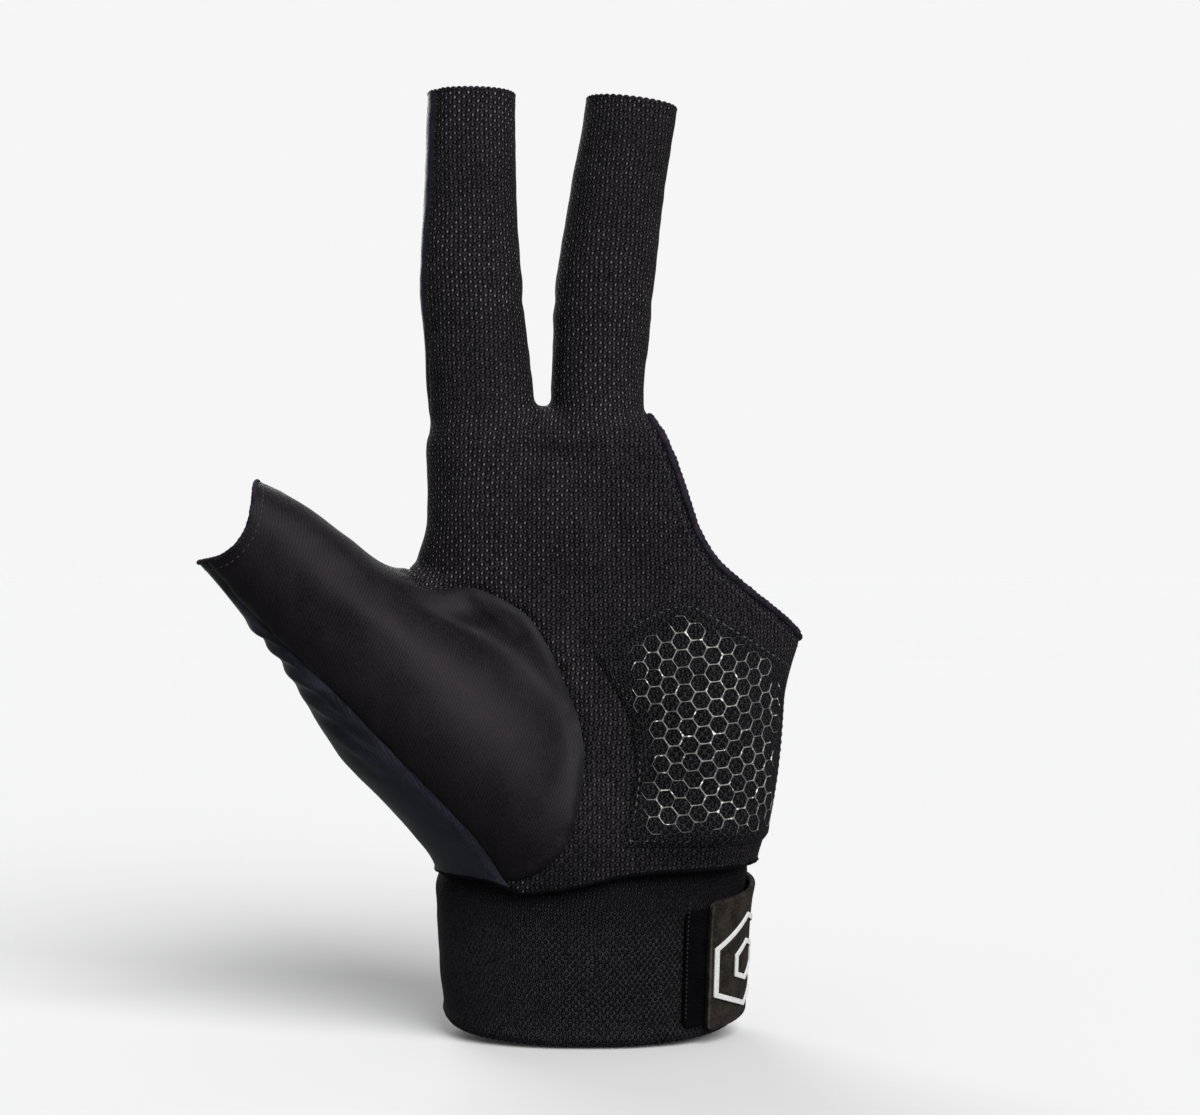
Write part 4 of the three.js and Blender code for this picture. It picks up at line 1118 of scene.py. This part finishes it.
# %% [markdown]
# One row of stitches holds the hem of the slit and one the hem of the thumb. One goes round the patch,
# and one is sewn over the seam at the index finger's side. Another row holds the pile strip, and a box
# of stitches holds the tab's far end.

# %% Stitches of the hems, the patch and the closure
slit_thread = sew("slit_thread", *inside_hem(slit_rule, 2.1, 1.5), 1.15, 0.3)
thumb_thread = sew("thumb_thread", *inside_hem(thumb_top_rule, 2.0, 1.4), 1.0, 0.26)

path = even_path(max(seams[PATCH_SEAM], key=len), 1.7)
_, across = headings(path, normals(path))
middle_of_patch = np.array([22, -18, 32])
across *= np.sign(((middle_of_patch - path) * across).sum(1))[:, None]
path = settle(path + across * 1.3, 2)
patch_thread = sew("patch_thread", path + normals(path) * 0.62, normals(path), 1.25, 0.3)


def sew_strap(name, angle, height, lift, long, thick):
    seat = cuff_point(angle, height, lift)
    return sew(name, seat, cuff_point(angle, height, lift + 1) - seat, long, thick)


loop_rows = np.linspace(-28.8, -3.6, 27)
loop_thread = sew_strap("loop_thread", np.full(27, -53.4), loop_rows, 0.92, 0.55, 0.24)

side_seams = [run for run in seams[(PALM_SIDE, BACK_SIDE)] if skin_points[run][:, 0].mean() < -30]
path = even_path(max(side_seams, key=len), 1.5)
side_thread = sew("side_thread", path + normals(path) * 0.25, normals(path), 1.1, 0.28, 72)

tab_box = [(44, -27.4), (60, -27.4), (60, -4.6), (44, -4.6), (44, -27.4)]
sides_of_box = [np.linspace(a, b, 14, endpoint=False) for a, b in zip(tab_box, tab_box[1:])]
angle, height = np.concatenate(sides_of_box).T
height = height + tilted_edge(angle, 0, STRAP_TILT)
tab_thread = sew_strap("tab_thread", angle, height, 0.2 + TAB_WALL, 1.2, 0.3)

# %% [markdown]
# ## Shader maths
# A knit is easier to write as arithmetic than as wires. This small class wraps one output of a shader
# tree, so that a plus sign in the script adds a Math node in the material.


# %% Recipe for a material
class Number:
    """A number inside a material, which can be added and multiplied like a plain one."""

    def __init__(self, recipe, socket):
        self.recipe, self.socket = recipe, socket

    def math(self, operation, *others):
        return self.recipe.result(operation, self, *others)

    def __add__(self, other):
        return self.math("ADD", other)

    def __sub__(self, other):
        return self.math("SUBTRACT", other)

    def __rsub__(self, other):
        return self.recipe.result("SUBTRACT", other, self)

    def __mul__(self, other):
        return self.math("MULTIPLY", other)

    def __truediv__(self, other):
        return self.math("DIVIDE", other)

    __radd__, __rmul__ = __add__, __mul__

    def step(self, low, high):
        """Soft step from 0 to 1 between two values."""
        values = {0: self, 1: low, 2: high, 3: 0.0, 4: 1.0}
        return self.recipe.number("ShaderNodeMapRange", {"interpolation_type": "SMOOTHSTEP"}, values)


class Recipe:
    """A material, made node by node."""

    def __init__(self, name, shine, tint=(1, 1, 1)):
        self.material = bpy.data.materials.new(name)
        self.material.use_nodes = True
        self.tree = self.material.node_tree
        self.shader = self.tree.nodes["Principled BSDF"]
        self.shader.inputs["Specular IOR Level"].default_value = shine
        self.shader.inputs["Specular Tint"].default_value = (*tint, 1)

    def put(self, entry, value):
        value = value.socket if isinstance(value, Number) else value
        if isinstance(value, bpy.types.NodeSocket):
            self.tree.links.new(value, entry)
        else:
            entry.default_value = value

    def node(self, kind, settings, values):
        node = self.tree.nodes.new(kind)
        for key, value in settings.items():
            setattr(node, key, value)
        for key, value in values.items():
            self.put(node.inputs[key], value)
        return node

    def number(self, kind, settings, values):
        return Number(self, self.node(kind, settings, values).outputs[0])

    def result(self, operation, *values):
        """A Math node's output."""
        return self.number("ShaderNodeMath", {"operation": operation}, dict(enumerate(values)))

    def split(self, vector):
        """The three coordinates of a place."""
        return [Number(self, s) for s in self.node("ShaderNodeSeparateXYZ", {}, {0: vector}).outputs]

    def pattern(self):
        """Place on the cutter's pattern, in millimetres."""
        u, v, _ = self.split(self.node("ShaderNodeUVMap", {}, {}).outputs[0])
        return u * 100, v * 100

    def place(self):
        """Place in space, in millimetres."""
        values = {0: self.node("ShaderNodeTexCoord", {}, {}).outputs["Object"], "Scale": 1000.0}
        return self.node("ShaderNodeVectorMath", {"operation": "SCALE"}, values).outputs[0]

    def joined(self, x, y):
        return self.node("ShaderNodeCombineXYZ", {}, {0: x, 1: y}).outputs[0]

    def noise(self, where, size, detail):
        return self.number("ShaderNodeTexNoise", {}, {"Vector": where, "Scale": 1 / size, "Detail": detail})

    def mix(self, share, first, second):
        first, second = ((*c, 1.0) if isinstance(c, tuple) else c for c in (first, second))
        return self.node("ShaderNodeMix", {"data_type": "RGBA"}, {0: share, 6: first, 7: second}).outputs[2]

    def finish(self, colour, roughness, height=None, depth=0):
        """Sets the look; the height is a bump this many millimetres deep."""
        self.put(self.shader.inputs["Base Color"], colour)
        self.put(self.shader.inputs["Roughness"], roughness)
        if height is not None:
            values = {"Height": height, "Distance": depth * MM, "Strength": 1.0}
            self.put(self.shader.inputs["Normal"], self.node("ShaderNodeBump", {}, values).outputs[0])
        return self.material


# %% [markdown]
# ## Knit
# The palm's knit is an open mesh. In a brick pattern, one every 2 mm across and 1 mm up, a small light
# stroke is painted on the tight ground yarn as a glint, with a dark hole round it. Slow noise makes the
# strokes stronger where the cloth is stretched and shifts the rows a little, and a random number for each
# cell dims some strokes. Painted shade makes the yarn darker towards the wrist, and on the band towards
# its top under the palm's heel. It also dims the strokes low down and on the palm's right below the
# fingers. The patch and the band are finer knits of the same kind.


# %% Mesh knit
def knit(name, wide, high, base, glint_stroke, painted_shade_span):
    recipe = Recipe(name, 0.02)
    u, v = recipe.pattern()
    where = recipe.place()
    x, _, z = recipe.split(where)
    wander = recipe.noise(where, 7.0, 1.0) - 0.5
    fine = recipe.noise(where, 0.42, 3.0)
    row = (v + wander * 0.6) / high
    number = row.math("FLOOR")
    column = (u + wander * 0.9) / wide + number.math("FLOORED_MODULO", 2.0) * 0.5
    up = row.math("FRACT") - 0.5
    across = column.math("FRACT") - 0.5 - up * 0.06

    def oval(low, half_wide, half_high):
        far = (across / half_wide).math("POWER", 2.0) + ((up + low) / half_high).math("POWER", 2.0)
        return far.math("SQRT")

    # The light stroke is a painted glint on the yarn.
    light = (1.0 - oval(0.0, 0.12, 0.40).step(0.40, 1.15)) * (fine.step(0.25, 0.6) * 0.35 + 0.65)
    hole = (1.0 - oval(0.10, 0.35, 0.60).step(0.66, 1.10)) * (fine.step(0.3, 0.6) * 0.25 + 0.75)
    # Painted shade: the strokes are dimmed low down and on the palm's right below the fingers.
    taut_and_painted_shade = recipe.noise(where, 22.0, 2.0).step(0.30, 0.68) * 0.5 + 0.4 + z.step(160, 172) * 0.3
    taut_and_painted_shade = taut_and_painted_shade * (z.step(4, 40) * 0.5 + 0.5) * (1.0 - x.step(-8, 24) * 0.45 * (1.0 - z.step(92, 108)))
    cell = {"Vector": recipe.joined(column.math("FLOOR"), number)}
    speck = recipe.number("ShaderNodeTexWhiteNoise", {"noise_dimensions": "2D"}, cell) * 0.7 + 0.3
    # Painted shade: the yarn darkens towards the wrist, and on the band towards its top under the palm's
    # heel.
    shade = fine.step(0.32, 0.68) * (z.step(*painted_shade_span) * 0.7 + 0.3)
    yarn = recipe.mix(shade, tuple(c * 0.2 for c in base), tuple(c * 2.3 for c in base))
    yarn = recipe.mix(hole, yarn, tuple(c * 0.05 for c in base))
    colour = recipe.mix(light * taut_and_painted_shade * speck, yarn, glint_stroke)
    return recipe.finish(colour, 0.82 - light * 0.2, light * 0.7 - hole * 0.6 + fine * 0.4, 0.28)


palm_knit = knit("palm_knit", 2.02, 0.98, (0.0048, 0.0044, 0.0054), (0.078, 0.070, 0.075), (-8, 18))
patch_knit = knit("patch_knit", 1.9, 0.95, (0.0040, 0.0038, 0.0044), (0.038, 0.035, 0.037), (-8, 12))
cuff_knit = knit("cuff_knit", 1.11, 0.84, (0.0056, 0.0054, 0.0068), (0.056, 0.053, 0.060), (-1, -15))
print("knits:", palm_knit.name, patch_knit.name, cuff_knit.name)

# %% [markdown]
# ## Smooth cloths
# Satin has long floats of yarn that all lie one way. They give fine leaning ribs and a broad soft
# highlight. Painted shade makes the satin's colour darker towards the wrist and its lower left side. The
# stretch cloth of the back is a bluer, more matt jersey, and round the thumb light slanting streaks are
# painted on it as highlights of its wrinkles. In both, the ribs run in the cutter's pattern.


# %% Satin and stretch
def ribs(recipe, pitch, lean):
    """Ribs, their grain and slow clouds."""
    u, v = recipe.pattern()
    where = recipe.place()
    fine = recipe.noise(where, 0.45, 3.0)
    phase = (u - v * math.tan(math.radians(lean))) / pitch + fine * 0.5
    return (phase * (2 * math.pi)).math("SINE") * 0.5 + 0.5, fine, recipe.noise(where, 6.0, 3.0)


def ribbed(recipe, rib, fine, cloud, share, base, light, rough, depth):
    rough = rough + (cloud - 0.5) * 0.2 + (fine - 0.5) * 0.35
    return recipe.finish(recipe.mix(share, base, light), rough, rib * 0.15 + fine * 0.85, depth)


def shade_of(rib, fine, cloud):
    return rib * 0.42 + fine.step(0.3, 0.7) * 0.36 + cloud.step(0.3, 0.7) * 0.22


recipe = Recipe("satin", 0.043, (1, 0.89, 1))
cloth_ribs = ribs(recipe, 0.68, 24)
x, _, z = recipe.split(recipe.place())
# Painted shade: the satin's colour is darker towards the wrist and its lower left side.
share = shade_of(*cloth_ribs) * ((x + z).step(-24, 12) * 0.9 + 0.1)
satin = ribbed(recipe, *cloth_ribs, share, (0.0003, 0.0003, 0.0003), (0.0056, 0.0047, 0.0057), 0.56, 0.06)

recipe = Recipe("stretch", 0.036, (0.92, 0.94, 1))
cloth_ribs = ribs(recipe, 0.55, 0)
x, _, z = recipe.split(recipe.place())
# Painted highlight: light slanting streaks round the thumb stand for the lit ridges of its wrinkles.
painted_wrinkle_highlight = recipe.noise(recipe.joined((x * 0.88 - z * 0.47) / 11.0, (x * 0.47 + z * 0.88) / 2.6), 1.0, 2.0)
thumb = x.step(-38, -50) * 0.5 + 0.1
share = shade_of(*cloth_ribs) * (1.0 - thumb) + painted_wrinkle_highlight.step(0.42, 0.66) * thumb
stretch = ribbed(recipe, *cloth_ribs, share, (0.0013, 0.0014, 0.0023), (0.0092, 0.0100, 0.0140), 0.52, 0.05)
print("smooth cloths:", satin.name, stretch.name)

# %% [markdown]
# Suede, pile and the rolled hems have no direction. They are fine fuzz, made of two sizes of noise, and
# the suede is lighter at the edge that hands have rubbed.


# %% Suede, pile and hems
def fuzzy(name, base, light, size, depth, rubbed=None):
    recipe = Recipe(name, 0.02)
    where = recipe.place()
    fine = recipe.noise(where, size, 4.0)
    cloud = recipe.noise(where, 3.5, 3.0)
    colour = recipe.mix(fine.step(0.35, 0.68) * 0.5 + cloud.step(0.35, 0.65) * 0.5, base, light)
    if rubbed is not None:
        u, _ = recipe.pattern()
        edge = (1.0 - (u - 0.35).math("ABSOLUTE").step(0.05, 0.35)) * cloud.step(0.2, 0.6)
        colour = recipe.mix(edge * 0.5, colour, rubbed)
    return recipe.finish(colour, fine * 0.2 + 0.75, fine + cloud * 0.4, depth)


suede_edge = (0.034, 0.030, 0.027)
suede = fuzzy("suede", (0.0034, 0.0029, 0.0024), (0.0125, 0.0106, 0.0092), 0.55, 0.20, suede_edge)
pile = fuzzy("pile", (0.0001, 0.0001, 0.0002), (0.0009, 0.0009, 0.0012), 0.45, 0.45)
hem_cloth = fuzzy("hem_cloth", (0.0026, 0.0020, 0.0030), (0.0110, 0.0083, 0.0124), 0.5, 0.15)
print("fuzzy cloths:", suede.name, pile.name, hem_cloth.name)

# %% [markdown]
# ## Thread, silicone and ink
# Thread and ink have one colour with a fine grain. Silicone is clear with a milky film: where it has
# worn thin it nearly goes, and where it is thick a few bright flecks are painted on it as glints.


# %% Thread, silicone and ink
def grained(name, size, detail, high, dark, light, rough, depth):
    recipe = Recipe(name, 0.2)
    grain = recipe.noise(recipe.place(), size, detail)
    return recipe.finish(recipe.mix(grain.step(0.3, high), dark, light), rough, grain, depth)


thread = grained("thread", 0.25, 2.0, 0.7, (0.003, 0.0026, 0.0032), (0.01, 0.009, 0.0104), 0.7, 0.1)
pale_thread = grained("pale_thread", 0.25, 2.0, 0.7, (0.006, 0.006, 0.006), (0.045, 0.043, 0.042), 0.7, 0.1)
ink = grained("ink", 0.4, 3.0, 0.6, (0.19, 0.19, 0.187), (0.25, 0.25, 0.247), 0.5, 0.06)

recipe = Recipe("silicone", 0.4)
where = recipe.place()
film = recipe.noise(where, 7.0, 3.0)
grain = recipe.noise(where, 0.7, 3.0)
thick = (film.step(0.36, 0.66) * 0.8 + 0.2) * (grain.step(0.36, 0.66) * 0.85 + 0.15)
# Painted glints: bright flecks where the film is thick.
painted_glint = recipe.noise(where, 1.1, 2.0).step(0.60, 0.70) * film.step(0.35, 0.55)
milky = recipe.mix(thick, (0.010, 0.010, 0.0095), (0.076, 0.075, 0.071))
silicone = recipe.finish(recipe.mix(painted_glint, milky, (0.40, 0.40, 0.38)), 0.46 - thick * 0.14, grain, 0.08)
print("materials:", [material.name for material in bpy.data.materials])

# %% [markdown]
# ## Who is what
# Each piece takes the place of its solid, if it has one, rides on the one body, and wears its cloth.

# %% Dress the pieces
LOOKS = [
    (palm_cloth, palm_knit, "palm_mesh", "palm_panel"),
    (thumb_cloth, satin, "thumb_satin", "thumb_panel"),
    (back_cloth, stretch, "back_stretch", "back_panel"),
    (patch_cloth, patch_knit, "palm_mesh", "grip_patch"),
    (print_piece, silicone, "grip_print", "grip_hexagons"),
    (cuff_band, cuff_knit, "cuff_knit", "wrist_cuff"),
    (loop_pile, pile, "loop_pile", "loop_strip"),
    (suede_tab, suede, "tab_suede", "closure_tab"),
    (outer_mark, ink, "emblem_print", "tab_emblem"),
    (inner_mark, ink, "emblem_print", "tab_emblem_core"),
    (slit_hem, hem_cloth, "palm_mesh"),
    (thumb_hem, hem_cloth, "thumb_satin"),
    (wrist_hem, pile, "palm_mesh"),
    (index_edge, palm_knit, "palm_mesh"),
    (middle_edge, palm_knit, "palm_mesh"),
    (cuff_edge, hem_cloth, "cuff_knit"),
    (slit_thread, thread, "palm_mesh"),
    (thumb_thread, thread, "thumb_satin"),
    (patch_thread, pale_thread, "palm_mesh"),
    (loop_thread, thread, "loop_pile"),
    (tab_thread, thread, "tab_suede"),
    (side_thread, thread, "back_stretch"),
]
for piece, material, slot, *nodes in LOOKS:
    piece.data.materials.clear()
    piece.data.materials.append(material)
    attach(piece, "root")
    for node in nodes:
        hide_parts(node)
print("pieces:", len(LOOKS))

# %% [markdown]

# %% [markdown]
# ## Studio
# The glove stands on its wrist on a pale floor in a pale room. A wide soft lamp shines from the upper
# front, as the glints on the satin show, and a weaker one from behind lights the edges. Their strength
# is chosen so that the lit floor is exactly as bright as the room, and no horizon shows.

# %% Floor and light
ROOM = 0.92
FLOOR_SHARE = 0.26  # share of the light that the floor gives back
BACK_SHARE = 0.23  # share of the lamps' light on the floor that comes from the back lamp

bpy.ops.mesh.primitive_circle_add(vertices=96, radius=12, fill_type="NGON")
floor = named("floor")
set_points(floor, points_of(floor) + [0, 0, -35.6])
recipe = Recipe("floor", 0.0)
mottle = recipe.noise(recipe.place(), 300.0, 2.0)
floor_paint = recipe.mix(mottle, (0.257, 0.257, 0.26), (0.263, 0.263, 0.263))
floor.data.materials.append(recipe.finish(floor_paint, 0.9))

world = bpy.data.worlds.new("room")
bpy.context.scene.world = world
world.use_nodes = True
world.node_tree.nodes["Background"].inputs["Color"].default_value = (1, 1, 1, 1)
world.node_tree.nodes["Background"].inputs["Strength"].default_value = ROOM


def soft_lamp(name, toward, width, share):
    toward = Vector(toward).normalized()
    bpy.ops.object.light_add(type="SUN", location=-0.9 * toward)
    lamp = named(name)
    lamp.rotation_euler = toward.to_track_quat("-Z", "Y").to_euler()
    lamp.data.angle = math.radians(width)
    lamp.data.energy = share * math.pi * ROOM * (1 / FLOOR_SHARE - 1) / -toward.z
    print(name, round(lamp.data.energy, 2))


soft_lamp("front_lamp", (-0.40, 0.68, -0.60), 44, 1 - BACK_SHARE)
soft_lamp("back_lamp", (0.35, -0.80, -0.45), 40, BACK_SHARE)
bpy.context.scene.view_settings.view_transform = "Standard"
